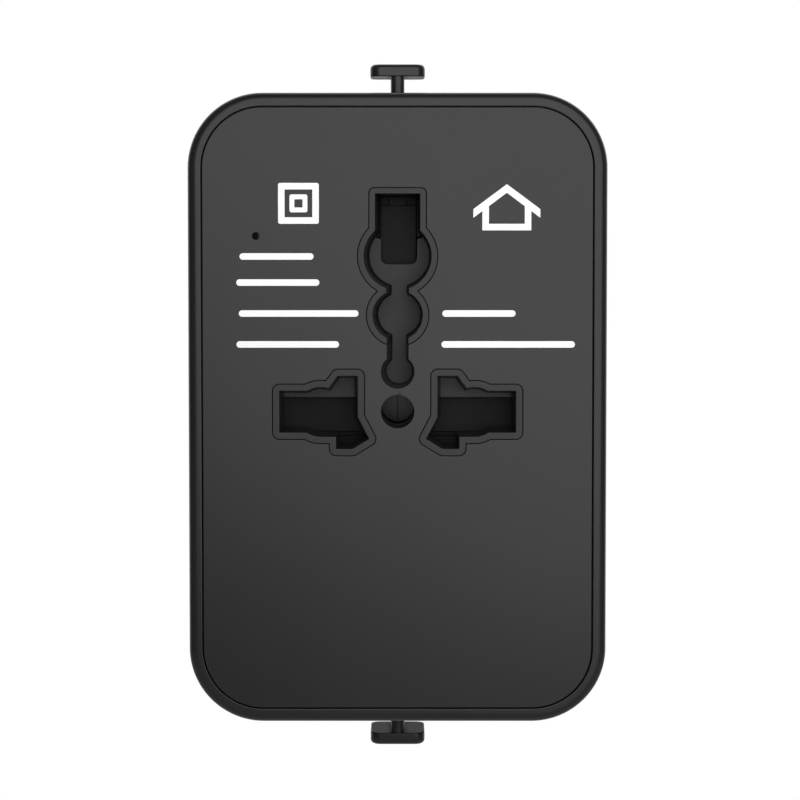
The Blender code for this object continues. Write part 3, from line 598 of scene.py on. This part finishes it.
SHELL_LOOK = moulding("moulded_shell", 0.0105, 0.012, (0.28, 0.33), SHEEN)
FACE_LOOK = moulding("moulded_face", 0.0115, 0.013, (0.28, 0.33), SHEEN)
COLLAR_LOOK = moulding("moulded_collar", 0.0105, 0.012, (0.28, 0.33), 0.235)
FLOOR_LOOK = moulding("moulded_floor", 0.013, 0.015, (0.60, 0.68), 0.42, 4200, 0.0012)
LEDGE_LOOK = moulding("moulded_ledge", 0.012, 0.014, (0.42, 0.50), SHEEN, 4200, 0.0012)
HOLE_LOOK = moulding("moulded_core", 0.009, 0.011, (0.28, 0.33), 0.24)
INNER_LOOK = moulding("black_moulding", 0.004, 0.005, (0.50, 0.60), 0.12, 4200, 0.0012, 0.0002)
SLEEVE_LOOK = moulding("pin_sleeve", 0.012, 0.016, (0.38, 0.5), 0.5, 4000, 0.002, 0.001)
# The light pipe is coloured near black as painted shade, so that the LED pinhole in front of it reads as a
# dark hole.
PIPE_LOOK = moulding("dark_pipe_painted_shade", 0.004, 0.006, (0.40, 0.50), 0.1, 500, 0.001, 0.0)

PIN_LOOK = surface(
    "nickel_plate", (0.66, 0.64, 0.60), (0.74, 0.72, 0.68), (0.20, 0.30), 2200, 0.0008, 1.0, (1, 0.06, 1)
)
BRASS_LOOK = surface(
    "stamped_brass", (0.62, 0.44, 0.18), (0.74, 0.55, 0.26), (0.28, 0.40), 2600, 0.0008, 1.0, (1, 0.08, 1)
)
STEEL_LOOK = surface(
    "zinc_plate", (0.42, 0.43, 0.45), (0.56, 0.57, 0.58), (0.25, 0.40), 2600, 0.001, 1.0, (1, 1, 0.2)
)
PRINT_LOOK = surface("white_print", (0.86, 0.86, 0.86), (0.92, 0.92, 0.92), (0.45, 0.6), 4000, 0.001)
BOARD_LOOK = surface("solder_resist", (0.012, 0.09, 0.03), (0.02, 0.13, 0.05), (0.25, 0.4), 1200, 0.004)
VARISTOR_LOOK = surface("dipped_epoxy", (0.015, 0.07, 0.30), (0.03, 0.11, 0.38), (0.25, 0.4), 700, 0.01)
CERAMIC_LOOK = surface("glazed_ceramic", (0.70, 0.68, 0.62), (0.80, 0.78, 0.72), (0.2, 0.3), 600, 0.003)
LENS_LOOK = surface("led_lens", (0.40, 0.02, 0.015), (0.52, 0.03, 0.02), (0.08, 0.16), 500, 0.001)
BROWN_LOOK = surface("brown_insulation", (0.12, 0.05, 0.02), (0.16, 0.07, 0.03), (0.4, 0.5), 900, 0.003)
BLUE_LOOK = surface("blue_insulation", (0.02, 0.06, 0.30), (0.03, 0.09, 0.38), (0.4, 0.5), 900, 0.003)


# ---------------------------------------------------------------- housing


def make_housing():
    shell = slab("housing_body", body_shape, FRONT, SEAM, "Y", EDGE, 0.3, 8)
    cutters = [
        mouth("opening", lambda inset: body_shape(BEZEL + inset), FRONT, PLATE_BACK + 0.2, "Y", 0.12, 3),
        slab("ledge", lambda inset: body_shape(PLATE_LEDGE), PLATE_BACK, PLATE_BACK + 2),
        slab("cavity", lambda inset: body_shape(WALL), PLATE_BACK + 1.7, SEAM + 1),
    ]
    for name, side, travel in (("uk_knob", 1, UK_TRAVEL), ("eu_knob", -1, EU_TRAVEL)):
        low = node_box(name)[0]
        stem_back = low.y + STEM_DEPTH + travel + 0.6
        half = STEM_HALF + STEM_GAP
        shape = rectangle_shape((-half, low.y - 0.5), (half, stem_back), 1.0)
        inside = HALF_HEIGHT - WALL - 1
        cutters.append(mouth(f"{name}_slot", shape, side * HALF_HEIGHT, side * inside, "Z", 0.3))
    surface_x, track_x = -HALF_WIDTH, -HALF_WIDTH + US_TRACK_DEPTH
    track = rectangle_shape((US_TRACK[0], US_Z - US_TRACK_HALF), (US_TRACK[1], US_Z + US_TRACK_HALF), 1.2)
    cutters.append(mouth("us_track", track, surface_x, track_x, "X", 0.3))
    slot = rectangle_shape((US_SLOT[0], US_Z - US_SLOT_HALF), (US_SLOT[1], US_Z + US_SLOT_HALF), 0.5)
    cutters.append(mouth("us_slot", slot, track_x, surface_x + WALL + 1, "X", 0.15))
    piece(carved(shell, *cutters), SHELL_LOOK, "housing", "shell_plastic", "main_shell")


def make_rear_cover():
    back, inside = COVER_HIGH.y, -WALL - 1
    cover = slab("back_panel", body_shape, COVER_LOW.y, back, "Y", 0.3, 1.5, 8)
    cutters = [slab("cover_cavity", lambda inset: body_shape(WALL), COVER_LOW.y - 1, -WALL)]
    for side in (-1, 1):
        shape = rectangle_round((side * UK_PIN_X, ROW), UK_PIN_HALF, PIN_GAP, 0.5, 4)
        cutters.append(mouth(f"uk_hole_{side}", shape, back, inside))
        shape = circle_shape((side * EU_PIN_X, EU_PIN_Z), EU_PIN_RADIUS + PIN_GAP, 40)
        cutters.append(mouth(f"eu_hole_{side}", shape, back, inside))
        cutters.append(mouth(f"us_hole_{side}", bow_tie_shape(side), back, inside, flare=0.2))
        for height in (-SCREW_Z, SCREW_Z):
            shape = circle_shape((side * SCREW_X, height), SCREW_RECESS, 36)
            cutters.append(mouth(f"recess_{side}_{height}", shape, back, -1.5, flare=0.2))
    earth = rectangle_round((0, UK_EARTH_Z), UK_EARTH_HALF, PIN_GAP, 0.5, 4)
    cutters.append(mouth("uk_earth_hole", earth, back, inside))
    piece(carved(cover, *cutters), SHELL_LOOK, "housing", "shell_plastic", "rear_cover")


def bow_tie_shape(side):
    """The opening that lets a blade turn, as a function of its inset."""

    def shape(inset):
        half_x, half_z = US_PIN_HALF[0] + PIN_GAP - inset, US_PIN_HALF[1] + PIN_GAP - inset
        reach = math.hypot(half_x, half_z)
        corner = math.degrees(math.atan2(half_z, half_x))
        waist = half_x * math.tan(math.radians(US_TURN / 2))
        top = arc((0, 0), reach, 180 - corner, corner - US_TURN, 10)
        bottom = [(-x, -z) for x, z in top]
        points = top + [(half_x, -waist)] + bottom + [(-half_x, waist)]
        return [(side * (x + US_PIN_X), z + US_Z) for x, z in points]

    return shape


# ---------------------------------------------------------------- socket face


def outline_shape(points):
    """An outline as a function of how far it is inset."""
    return lambda inset: offset(points, -inset)


def keyhole_cutter(back, fillet=0.0):
    """The earth keyhole, the slot under it and the upper round hole, which are one opening."""
    shape = outline_shape(moved(closed(keyhole_side(0) + slot_side())))
    taper = KEYHOLE_DRAFT * (back - fillet - PLATE_FRONT)
    cutter = mouth("keyhole", shape, PLATE_FRONT, back, flare=0.08, steps=3, taper=taper, fillet=fillet)
    for vertex in cutter.data.vertices:
        vertex.co.x += KEYHOLE_LEAN * max(0, vertex.co.y - PLATE_FRONT * MM)
    return cutter


def centre_hole_cutter(front, back):
    return slab("centre_hole", circle_shape((0, ROW), HOLE_RADIUS, 48), front, back)


def side_collar_outline(distance):
    return moved(grown(side_aperture(), distance))


def earth_collar_outline(distance):
    return moved(softened(closed(keyhole_side(distance)), 0.8))


def make_face_panel():
    shape = outline_shape(body_shape(PLATE_INSET))
    panel = slab("face_panel", shape, PLATE_FRONT, PLATE_BACK, "Y", FACE_EDGE, 0.0, 3)
    low, high = node_box("led_light_pipe")
    led = ((low.x + high.x) / 2, (low.z + high.z) / 2)
    side = side_collar_outline(COLLAR + HAIRLINE)
    holes = {
        "right_collar_hole": outline_shape(side),
        "left_collar_hole": outline_shape(mirrored(side)),
        "earth_collar_hole": outline_shape(earth_collar_outline(EARTH_COLLAR + HAIRLINE)),
        "centre_hole": circle_shape((0, ROW), HOLE_RADIUS, 48),
        "led_hole": circle_shape(led, LED_RADIUS, 24),
    }
    behind = PLATE_BACK + 1
    cutters = [keyhole_cutter(behind)]
    for name, hole in holes.items():
        cutters.append(mouth(name, hole, PLATE_FRONT, behind, flare=HOLE_RIM, steps=3))
    panel = carved(panel, *cutters)
    piece(panel, FACE_LOOK, "housing", "face_plastic", "face_plate")


def make_collars():
    """The three collars, and the moulding behind the face plate that carries them."""
    front = PLATE_FRONT + 0.01
    back, behind = CORE_BACK, CORE_BACK + 1
    floor = back + KEYHOLE_OVERRUN
    right = moved(side_aperture())
    right_outer = side_collar_outline(COLLAR)
    parts = []
    for name, aperture, outer in (
        ("socket_collars", right, right_outer),
        ("left_collar", mirrored(right), mirrored(right_outer)),
    ):
        collar = slab(name, outline_shape(outer), front, back, "Y", FACE_EDGE, 0.0, 3)
        shape = outline_shape(aperture)
        parts.append(carved(collar, mouth("aperture", shape, front, behind, flare=0.1, steps=3, taper=DRAFT)))
    shape = outline_shape(earth_collar_outline(EARTH_COLLAR))
    collar = slab("earth_collar", shape, front, back, "Y", FACE_EDGE, 0.0, 3)
    parts.append(carved(collar, keyhole_cutter(floor, KEYHOLE_FILLET)))
    shape = rectangle_shape((-CORE_HALF_WIDTH, CORE_BOTTOM), (CORE_HALF_WIDTH, CORE_TOP), 1.0)
    base = slab("core_base", shape, PLATE_BACK + 0.1, back)
    inner = side_collar_outline(COLLAR - 0.2)
    cutters = [keyhole_cutter(floor, KEYHOLE_FILLET)]
    for name, outline in (("right", inner), ("left", mirrored(inner))):
        cutters.append(slab(name, outline_shape(outline), PLATE_BACK - 1, behind))
    cutters.append(centre_hole_cutter(PLATE_BACK - 1, behind))
    parts.append(carved(base, *cutters))
    piece(joined(*parts), COLLAR_LOOK, "housing", "face_plastic", "socket_core")


def make_block():
    """The moulding behind the face: the keyhole's floor, the earth window and the chambers."""
    low, high = BLOCK_LOW, BLOCK_HIGH
    body = slab("socket_block", rectangle_shape((low.x, low.z), (high.x, high.z), 1.0), low.y, high.y)
    right_side = [(2.9, 27.2), (2.9, 21.3), (2.24, 21.3), (2.24, 18.08)]
    window = [(x + WINDOW_SHIFT, z) for x, z in moved(softened(closed(right_side), 0.95))]
    pocket_back = CHAMBER_FRONT + 0.1
    recess_low = (FLAP_LEFT - 0.08, RECESS_FRONT, FLAP_BOTTOM - 0.1)
    earth_low = (-CHAMBER_INNER, CHAMBER_FRONT, EARTH_CHAMBER_BOTTOM)
    track_low = (-TRACK_HALF_WIDTH, RECESS_FRONT, TRACK_BOTTOM)
    cutters = [
        mouth("window", outline_shape(window), low.y, CHAMBER_FRONT + 1, flare=HOLE_RIM, steps=2),
        block("flap_recess", recess_low, (FLAP_RIGHT + 0.09, pocket_back, POCKET_TOP), 0.02),
        block("earth_chamber", earth_low, (CHAMBER_INNER, CHAMBER_BACK, POCKET_TOP), 0.05),
        block("flap_pivot", (-3.1, -49.9, ROW + 25.9), (3.1, pocket_back, POCKET_TOP), 0.05),
        block("shutter_track", track_low, (TRACK_HALF_WIDTH, CHAMBER_FRONT, TRACK_TOP), 0.05),
        centre_hole_cutter(low.y - 1, HOLE_BACK),
    ]
    for side in (-1, 1):
        # The opening in front of a flap is a little smaller than the track, so their faces don't coincide.
        x = span(side, 3.0, TRACK_HALF_WIDTH - 0.05)
        opening_low = (x[0], low.y - 1, TRACK_BOTTOM + 0.05)
        cutters.append(block(f"flap_{side}", opening_low, (x[1], -48, TRACK_TOP - 0.05), 0.05))
        x = span(side, CHAMBER_INNER, CHAMBER_OUTER)
        chamber_low = (x[0], CHAMBER_FRONT - 0.1, ROW - CHAMBER_HALF)
        chamber_high = (x[1], CHAMBER_BACK, ROW + CHAMBER_HALF)
        cutters.append(block(f"chamber_{side}", chamber_low, chamber_high, 0.05))
    piece(carved(body, *cutters), FLOOR_LOOK, "housing", "face_plastic", "contact_block")


def make_hole_floor():
    """The floor of the centre hole, in two halves with a seam between them."""
    half = arc((HOLE_SEAM, ROW), HOLE_RADIUS - 0.06, -90, 90, 24)
    halves = []
    for outline in (mirrored(half), half):
        halves.append(slab("centre_hole_floor", outline_shape(outline), HOLE_BACK - 0.15, HOLE_BACK + 0.1))
    piece(joined(*halves), HOLE_LOOK, "housing", "face_plastic")


def make_shutter():
    """Two flaps joined by a bridge, each with a ledge across its top and a stepped skirt below."""
    low, high = node_box("safety_shutter")
    back = high.y - 0.1
    steps = [  # the front, bottom and top of each step of a skirt
        (-48.6, ROW - 3.3, SHUTTER_BOTTOM + 0.4),
        (-48.0, ROW - 4.0, ROW - 3.2),
        (-48.4, low.z, ROW - 3.9),
    ]
    flaps, ledges = [], []
    for side in (-1, 1):
        x = span(side, SHUTTER_INNER, SHUTTER_OUTER)
        flap_low = (x[0], SHUTTER_FRONT, SHUTTER_BOTTOM)
        flaps.append(block(f"flap_{side}", flap_low, (x[1], high.y, high.z), 0.15))
        ledges.append(block(f"ledge_{side}", (x[0], low.y, SHUTTER_STEP), (x[1], back, high.z - 0.02), 0.12))
        x = span(side, SHUTTER_INNER, SKIRT_OUTER)
        for front, bottom, top in steps:
            flaps.append(block(f"skirt_{side}", (x[0], front, bottom), (x[1], back, top), 0.05))
    bridge = block("bridge", (-4, -49.0, SHUTTER_STEP + 1.0), (4, high.y - 0.2, high.z - 0.2), 0.1)
    shutter = joined(*flaps, bridge)
    shutter.name = "aperture_shutter"
    piece(shutter, INNER_LOOK, "shutter", "inner_plastic", "safety_shutter")
    ledge = joined(*ledges)
    ledge.name = "shutter_ledges"
    piece(ledge, LEDGE_LOOK, "shutter", "inner_plastic")


def make_earth_flap():
    """The flap behind the earth window, hung from its axle by a web, and a fixed cheek at each side."""
    low, high = node_box("earth_flap")
    shoulder, beam = FLAP_SHOULDER, FLAP_BEAM
    levels = [  # the left, right, bottom, top, front and back of each level, the last two from the axle
        ("earth_window_flap", FLAP_LEFT, FLAP_RIGHT, FLAP_BOTTOM, shoulder, -0.4, 0.4),
        ("recess_back", FLAP_LEFT, FLAP_RIGHT, shoulder - 0.1, beam + 0.1, 0.1, 0.35),
        ("web", -1.06, 1.06, shoulder - 0.1, beam + 0.1, -0.3, 0.35),
        ("beam", -2.68, 2.68, beam, FLAP_AXIS_Z + 0.35, -0.35, 0.35),
    ]
    parts = []
    for name, left, right, bottom, top, front, back in levels:
        parts.append(block(name, (left, FLAP_AXIS_Y + front, bottom), (right, FLAP_AXIS_Y + back, top), 0.1))
    axle = circle_shape((FLAP_AXIS_Y, FLAP_AXIS_Z), 0.5, 24)
    parts.append(slab("axle", axle, low.x, high.x, "X", 0.1, 0.1, 2))
    piece(joined(*parts), INNER_LOOK, "earth_flap", "inner_plastic", "earth_flap")
    cheeks = []
    for left in (FLAP_LEFT - 0.05 - CHEEK, FLAP_RIGHT + 0.05):
        cheek_low = (left, FLAP_AXIS_Y - 0.35, ROW + 21.45)
        cheek_high = (left + CHEEK, FLAP_AXIS_Y + 0.35, beam - 0.15)
        cheeks.append(block("window_cheeks", cheek_low, cheek_high, 0.05))
    piece(joined(*cheeks), INNER_LOOK, "housing", "inner_plastic")


def make_spring(node, body, radius, wire, turns, anchor_high):
    """A coil spring that rides with its moving end."""
    low, high = node_box(node)
    centre = ((low.x + high.x) / 2, (low.y + high.y) / 2)
    start, end = low.z + wire, high.z - wire
    section = circle((0, 0), wire, 8)
    count = turns * 24
    work = bmesh.new()
    rows = []
    for i in range(count + 1):
        turn = math.tau * turns * i / count
        out = Vector((math.cos(turn), math.sin(turn), 0))
        middle = Vector((*centre, start + (end - start) * i / count)) + out * radius
        rows.append([work.verts.new((middle + out * u + Vector((0, 0, v))) * MM) for u, v in section])
    spring = piece(skinned(f"{node}_coil", work, rows), STEEL_LOOK, body, "steel", node)
    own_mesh(spring)


def make_springs():
    for side in ("left", "right"):
        node = f"shutter_spring_{side}"
        make_spring(node, "shutter", 0.75, 0.16, 6, True)
    for knob, anchor_high in (("uk_knob", True), ("eu_knob", False)):
        make_spring(f"{knob}_spring", knob, 1.4, 0.17, 4, anchor_high)


# ---------------------------------------------------------------- knobs and slider


def make_knob(node, side):
    """A T-shaped knob: a cap with a dished outer face, its stem, and the shoulder inside."""
    low, high = node_box(node)
    outer = high.z if side > 0 else low.z
    inner = outer - side * CAP_HEIGHT
    half_x, middle_y = high.x, (low.y + high.y) / 2
    shape = rectangle_shape((-half_x, low.y), (half_x, high.y), 1.3, 10)
    rings = [(shape(inset), inner + side * depth) for depth, inset in rounding(0.15, 4)]
    rings += [(shape(inset), outer - side * depth) for depth, inset in reversed(rounding(CAP_EDGE, 6))]
    for share in (0.25, 0.5, 0.75, 0.92):
        inset = CAP_EDGE + share * (half_x - 0.75)
        dish = CAP_DISH * math.sin(share * math.pi / 2) ** 2
        shrink = 1 - inset / half_x
        ring = [(x * shrink, middle_y + (y - middle_y) * shrink) for x, y in shape(0)]
        rings.append((ring, outer - side * dish))
    cap = loft(f"{node}_cap", rings, "Z")
    start, end = sorted((side * 35.5, inner + side * 0.2))
    stem_shape = rectangle_shape((-STEM_HALF, low.y + 0.1), (STEM_HALF, low.y + STEM_DEPTH), 0.8)
    stem = slab("stem", stem_shape, start, end, "Z")
    start, end = span(side, 34.9, 36.5)
    shoulder = block("shoulder", (-2.2, low.y + 0.1, start), (2.2, low.y + 5.0, end), 0.15)
    piece(joined(cap, stem, shoulder), SHELL_LOOK, node, "shell_plastic", node)


def make_slider():
    """The US slider's button, with ridges across it and a neck through the slot."""
    low, high = node_box("us_slider_button")
    face = low.x + 0.4
    shape = rectangle_shape((low.y, low.z), (low.y + 10.0, high.z), 1.0)
    parts = [slab("blade_slider", shape, face, -HALF_WIDTH + 0.9, "X", 0.2, 0.05)]
    for number in range(RIDGES):
        y = low.y + 1.4 + RIDGE_PITCH * number
        ridge = rectangle_shape((y - 0.4, low.z + 1.0), (y + 0.4, high.z - 1.0), 0.38, 6)
        parts.append(slab(f"ridge_{number}", ridge, low.x, face + 0.2, "X", 0.3, 0.0))
    parts.append(block("neck", (face + 0.2, -29.5, US_Z - 1.4), (high.x, -26.5, US_Z + 1.4), 0.1))
    piece(joined(*parts), SHELL_LOOK, "us_pins", "shell_plastic", "us_slider_button")


# ---------------------------------------------------------------- pins


def foot_block(front, low, high):
    """A pin's foot, a thin block that joins it to its contact rail."""
    return block("foot", (low[0], front + 0.05, low[1]), (high[0], front + 0.5, high[1]), 0.08)


def make_flat_pin(node, body, centre, half, tip_radius, foot=None, sleeve=None):
    """A rectangular pin with a softened tip, with its foot and its insulating sleeve if it has them."""
    low, high = node_box(node)
    shape = rectangle_round(centre, half, 0, 0.25, 4)
    tip = tip_radius * 1.6
    rings = [(shape(0), low.y), (shape(0), high.y - tip)]
    for i in range(1, 7):
        t = i / 6
        rings.append((shape(tip_radius * (1 - math.sqrt(1 - t * t))), high.y - tip * (1 - t)))
    parts = [loft(f"{node}_plated", rings)]
    if foot:
        parts.append(foot_block(low.y, *foot))
    piece(joined(*parts), PIN_LOOK, body, "plated_pin", node)
    if sleeve:
        from_tip, length = sleeve
        start = high.y - from_tip
        outer = rectangle_round(centre, half, 0.04, 0.3, 4)
        make_sleeve(node, body, outer, start, start + length)


def make_sleeve(node, body, shape, start, end):
    piece(slab(f"{node}_sleeve", shape, start, end, "Y", 0.03, 0.03, 2), SLEEVE_LOOK, body, "inner_plastic")


def make_pins():
    for name, side in (("uk_live_pin", 1), ("uk_neutral_pin", -1)):
        x = span(side, 8.1, FOOT_OUTER)
        foot = ((x[0], ROW - 1.5), (x[1], ROW + 1.5))
        make_flat_pin(name, "uk_pins", (side * UK_PIN_X, ROW), UK_PIN_HALF, 0.8, foot, (19.9, 11.6))
    foot = ((-1.9, UK_EARTH_Z + 1.5), (11.5, 28.6))
    make_flat_pin("uk_earth_pin", "uk_pins", (0, UK_EARTH_Z), UK_EARTH_HALF, 1.0, foot)
    for name, side in (("us_live_blade", 1), ("us_neutral_blade", -1)):
        make_flat_pin(name, name, (side * US_PIN_X, US_Z), US_PIN_HALF, 0.55)
    for name, side in (("eu_live_pin", 1), ("eu_neutral_pin", -1)):
        low, high = node_box(name)
        centre = (side * EU_PIN_X, EU_PIN_Z)
        pin_shape = circle_shape(centre, EU_PIN_RADIUS, 40)
        pin = slab(f"{name}_plated", pin_shape, low.y, high.y, "Y", 0.05, 1.2, 8)
        x = span(side, 8.2, FOOT_OUTER)
        foot = foot_block(low.y, (x[0], -14.5), (x[1], -12.1))
        piece(joined(pin, foot), PIN_LOOK, "eu_pins", "plated_pin", name)
        make_sleeve(name, "eu_pins", circle_shape(centre, EU_PIN_RADIUS + 0.05, 40), *EU_SLEEVE)


# ---------------------------------------------------------------- screws


def turned(target, angle, centre):
    """Turns a solid about Y where it stands and moves it to a centre on the rear face."""
    for vertex in target.data.vertices:
        u, v = vertex.co.x, vertex.co.z
        vertex.co.x = u * math.cos(angle) - v * math.sin(angle) + centre[0] * MM
        vertex.co.z = u * math.sin(angle) + v * math.cos(angle) + centre[1] * MM
    return target


def make_screws():
    """Screws with a domed head and a cross recess, each stopped at its own angle. Rings are (radius, y)."""
    for number in range(1, 5):
        node = f"case_screw_{number}"
        low, high = node_box(node)
        centre = ((low.x + high.x) / 2, (low.z + high.z) / 2)
        rings = [(0.05, low.y), (0.9, low.y + 1.0), (0.95, -1.3), (2.05, -1.28), (2.1, -1.2), (2.1, -0.75)]
        rings += [(2.1 - 0.5 * t * t, -0.75 + 0.38 * t) for t in (0.25, 0.5, 0.75, 1.0)]
        rings += [(1.1, -0.3), (0.4, -0.27)]
        head = loft(f"{node}_head", [(circle(centre, radius, 40), y) for radius, y in rings])
        angle = 0.35 + number
        blades = []
        for quarter in (0, math.pi / 2):
            blade = block("blade", (-1.15, -0.95, -0.24), (1.15, 0.2, 0.24), 0.08, "Y")
            blades.append(turned(blade, angle + quarter, centre))
        piece(carved(head, *blades), STEEL_LOOK, "housing", "steel", node)


# ---------------------------------------------------------------- print


def raised_print(name, outlines):
    """White print, a film that stands 0.02 mm proud of the face plate and reaches into it."""
    film = plate(name, outlines, PLATE_FRONT - 0.02, PLATE_FRONT + 0.04, 0.005)
    piece(film, PRINT_LOOK, "housing", "face_plastic")


def bar(low_x, high_x, middle):
    """A line of the print with round ends, measured from the row."""
    half = 0.4
    return moved(rounded_rectangle((low_x, middle - half), (high_x, middle + half), half - 0.01, 6))


def square_ring(centre, half, stroke):
    """The two outlines of a square ring, measured from the row."""
    rings = []
    for reach, radius in ((half, 0.25), (half - stroke, 0.08)):
        low = (centre[0] - reach, centre[1] - reach)
        high = (centre[0] + reach, centre[1] + reach)
        rings.append(moved(rounded_rectangle(low, high, radius)))
    return rings


def make_print():
    """Plain bars where a maker's lettering would be, a double square and a house."""
    lines = [
        (-19.4, -10.3, 19.1),
        (-19.8, -9.6, 15.9),
        (-19.5, -4.8, 12.1),
        (-19.8, -7.2, 8.3),
        (5.5, 14.5, 12.1),
        (5.4, 21.8, 8.3),
    ]
    for number, (low_x, high_x, middle) in enumerate(lines, 1):
        raised_print(f"print_bar_{number}", [bar(low_x, high_x, middle)])
    square = (-12.15, 25.6)
    raised_print("print_square_outer", square_ring(square, 2.5, 0.8))
    raised_print("print_square_inner", square_ring(square, 1.1, 0.6))
    walls_and_roof = [
        (10.4, 22.3),
        (16.4, 22.3),
        (16.4, 24.67),
        (17.5, 23.85),
        (17.5, 24.9),
        (13.4, 27.95),
        (9.3, 24.9),
        (9.3, 23.85),
        (10.4, 24.67),
    ]
    inside = [(11.2, 23.1), (15.6, 23.1), (15.6, 25.26), (13.4, 26.9), (11.2, 25.26)]
    raised_print("print_house", [moved(walls_and_roof), moved(inside)])


# ---------------------------------------------------------------- pieces kept from the CAD model


def dress_kept_nodes():
    looks = {
        "contact_brass": BRASS_LOOK,
        "steel": STEEL_LOOK,
        "inner_plastic": INNER_LOOK,
        "circuit_board": BOARD_LOOK,
        "varistor_coating": VARISTOR_LOOK,
        "fuse_ceramic": CERAMIC_LOOK,
        "led_lens": LENS_LOOK,
        "light_pipe": PIPE_LOOK,
        "wire_brown": BROWN_LOOK,
        "wire_blue": BLUE_LOOK,
        "plated_pin": PIN_LOOK,
        "shell_plastic": SHELL_LOOK,
        "face_plastic": FACE_LOOK,
    }
    slots = {row["node"]: row["material_slot"] for row in frame["record"]["subparts"]}
    for name, node in frame["nodes"].items():
        node.data.materials.clear()
        node.data.materials.append(looks[slots[name]])
        if not node.hide_render:
            smooth(node, 30)


# ---------------------------------------------------------------- stage, light and camera


def aim(thing, target):
    way = Vector(target) - thing.location
    thing.rotation_euler = way.to_track_quat("-Z", "Y").to_euler()


def area_light(name, shape, place, target, size, power):
    """A light panel, which the camera doesn't see."""
    data = bpy.data.lights.new(name, "AREA")
    data.shape = shape
    data.size = size
    data.energy = power
    light = linked(name, data)
    light.location = place
    light.visible_camera = False
    aim(light, target)


def make_stage():
    made, tree, shader = material("pale_floor")
    coordinates = tree.nodes.new("ShaderNodeTexCoord").outputs["Object"]
    colour = mixed(tree, noise(tree, coordinates, 3.0), (0.86, 0.86, 0.86), (0.88, 0.88, 0.88))
    tree.links.new(colour, shader.inputs["Base Color"])
    shader.inputs["Roughness"].default_value = 0.9
    work = bmesh.new()
    bmesh.ops.create_grid(work, x_segments=1, y_segments=1, size=FLOOR_HALF)
    floor = from_bmesh("floor", work)
    floor.location = (0, 0, FLOOR_HEIGHT)
    floor.data.materials.append(made)


def make_world():
    """White all round for the camera. As light, it is bright behind the object and dim in front of it."""
    world = bpy.data.worlds.new("studio")
    bpy.context.scene.world = world
    world.use_nodes = True
    nodes, links = world.node_tree.nodes, world.node_tree.links
    background = nodes["Background"]
    background.inputs["Color"].default_value = (1, 1, 1, 1)
    direction = nodes.new("ShaderNodeSeparateXYZ")
    links.new(nodes.new("ShaderNodeTexCoord").outputs["Generated"], direction.inputs["Vector"])
    shade = nodes.new("ShaderNodeMapRange")
    shade.interpolation_type = "SMOOTHSTEP"
    shade.inputs["From Min"].default_value = SHADE_START
    shade.inputs["From Max"].default_value = SHADE_END
    shade.inputs["To Min"].default_value = FRONT_SHADE
    shade.inputs["To Max"].default_value = BACK_SHADE
    links.new(direction.outputs["Y"], shade.inputs["Value"])
    path = nodes.new("ShaderNodeLightPath")
    strength = nodes.new("ShaderNodeMix")
    links.new(path.outputs["Is Camera Ray"], strength.inputs["Factor"])
    links.new(shade.outputs["Result"], strength.inputs["A"])
    strength.inputs["B"].default_value = 1.0
    links.new(strength.outputs["Result"], background.inputs["Strength"])


def make_lights():
    face = FRONT * MM
    key_place = (KEY_X, face - KEY_DISTANCE, KEY_Z)
    area_light("key", "DISK", key_place, (KEY_X, face, KEY_Z), KEY_SIZE, KEY_POWER)
    # This one hangs under the object and faces down, so it only brightens the floor.
    wash_place = (0, 0, FLOOR_HEIGHT + WASH_HEIGHT)
    area_light("floor_wash", "SQUARE", wash_place, (0, 0, FLOOR_HEIGHT), WASH_SIZE, WASH_POWER)


def make_camera():
    elevation = math.radians(CAMERA_ELEVATION)
    data = bpy.data.cameras.new("camera")
    data.sensor_width = SENSOR
    data.lens = LENS
    data.clip_start = 0.01
    camera = linked("camera", data)
    camera.location = CAMERA_AIM + CAMERA_DISTANCE * Vector((0, -math.cos(elevation), math.sin(elevation)))
    aim(camera, CAMERA_AIM)
    bpy.context.scene.camera = camera
    bpy.context.scene.view_settings.view_transform = "Standard"


make_housing()
make_rear_cover()
make_face_panel()
make_collars()
make_block()
make_hole_floor()
make_shutter()
make_earth_flap()
make_springs()
make_knob("uk_knob", 1)
make_knob("eu_knob", -1)
make_slider()
make_pins()
make_screws()
make_print()
dress_kept_nodes()
make_stage()
make_world()
make_lights()
make_camera()
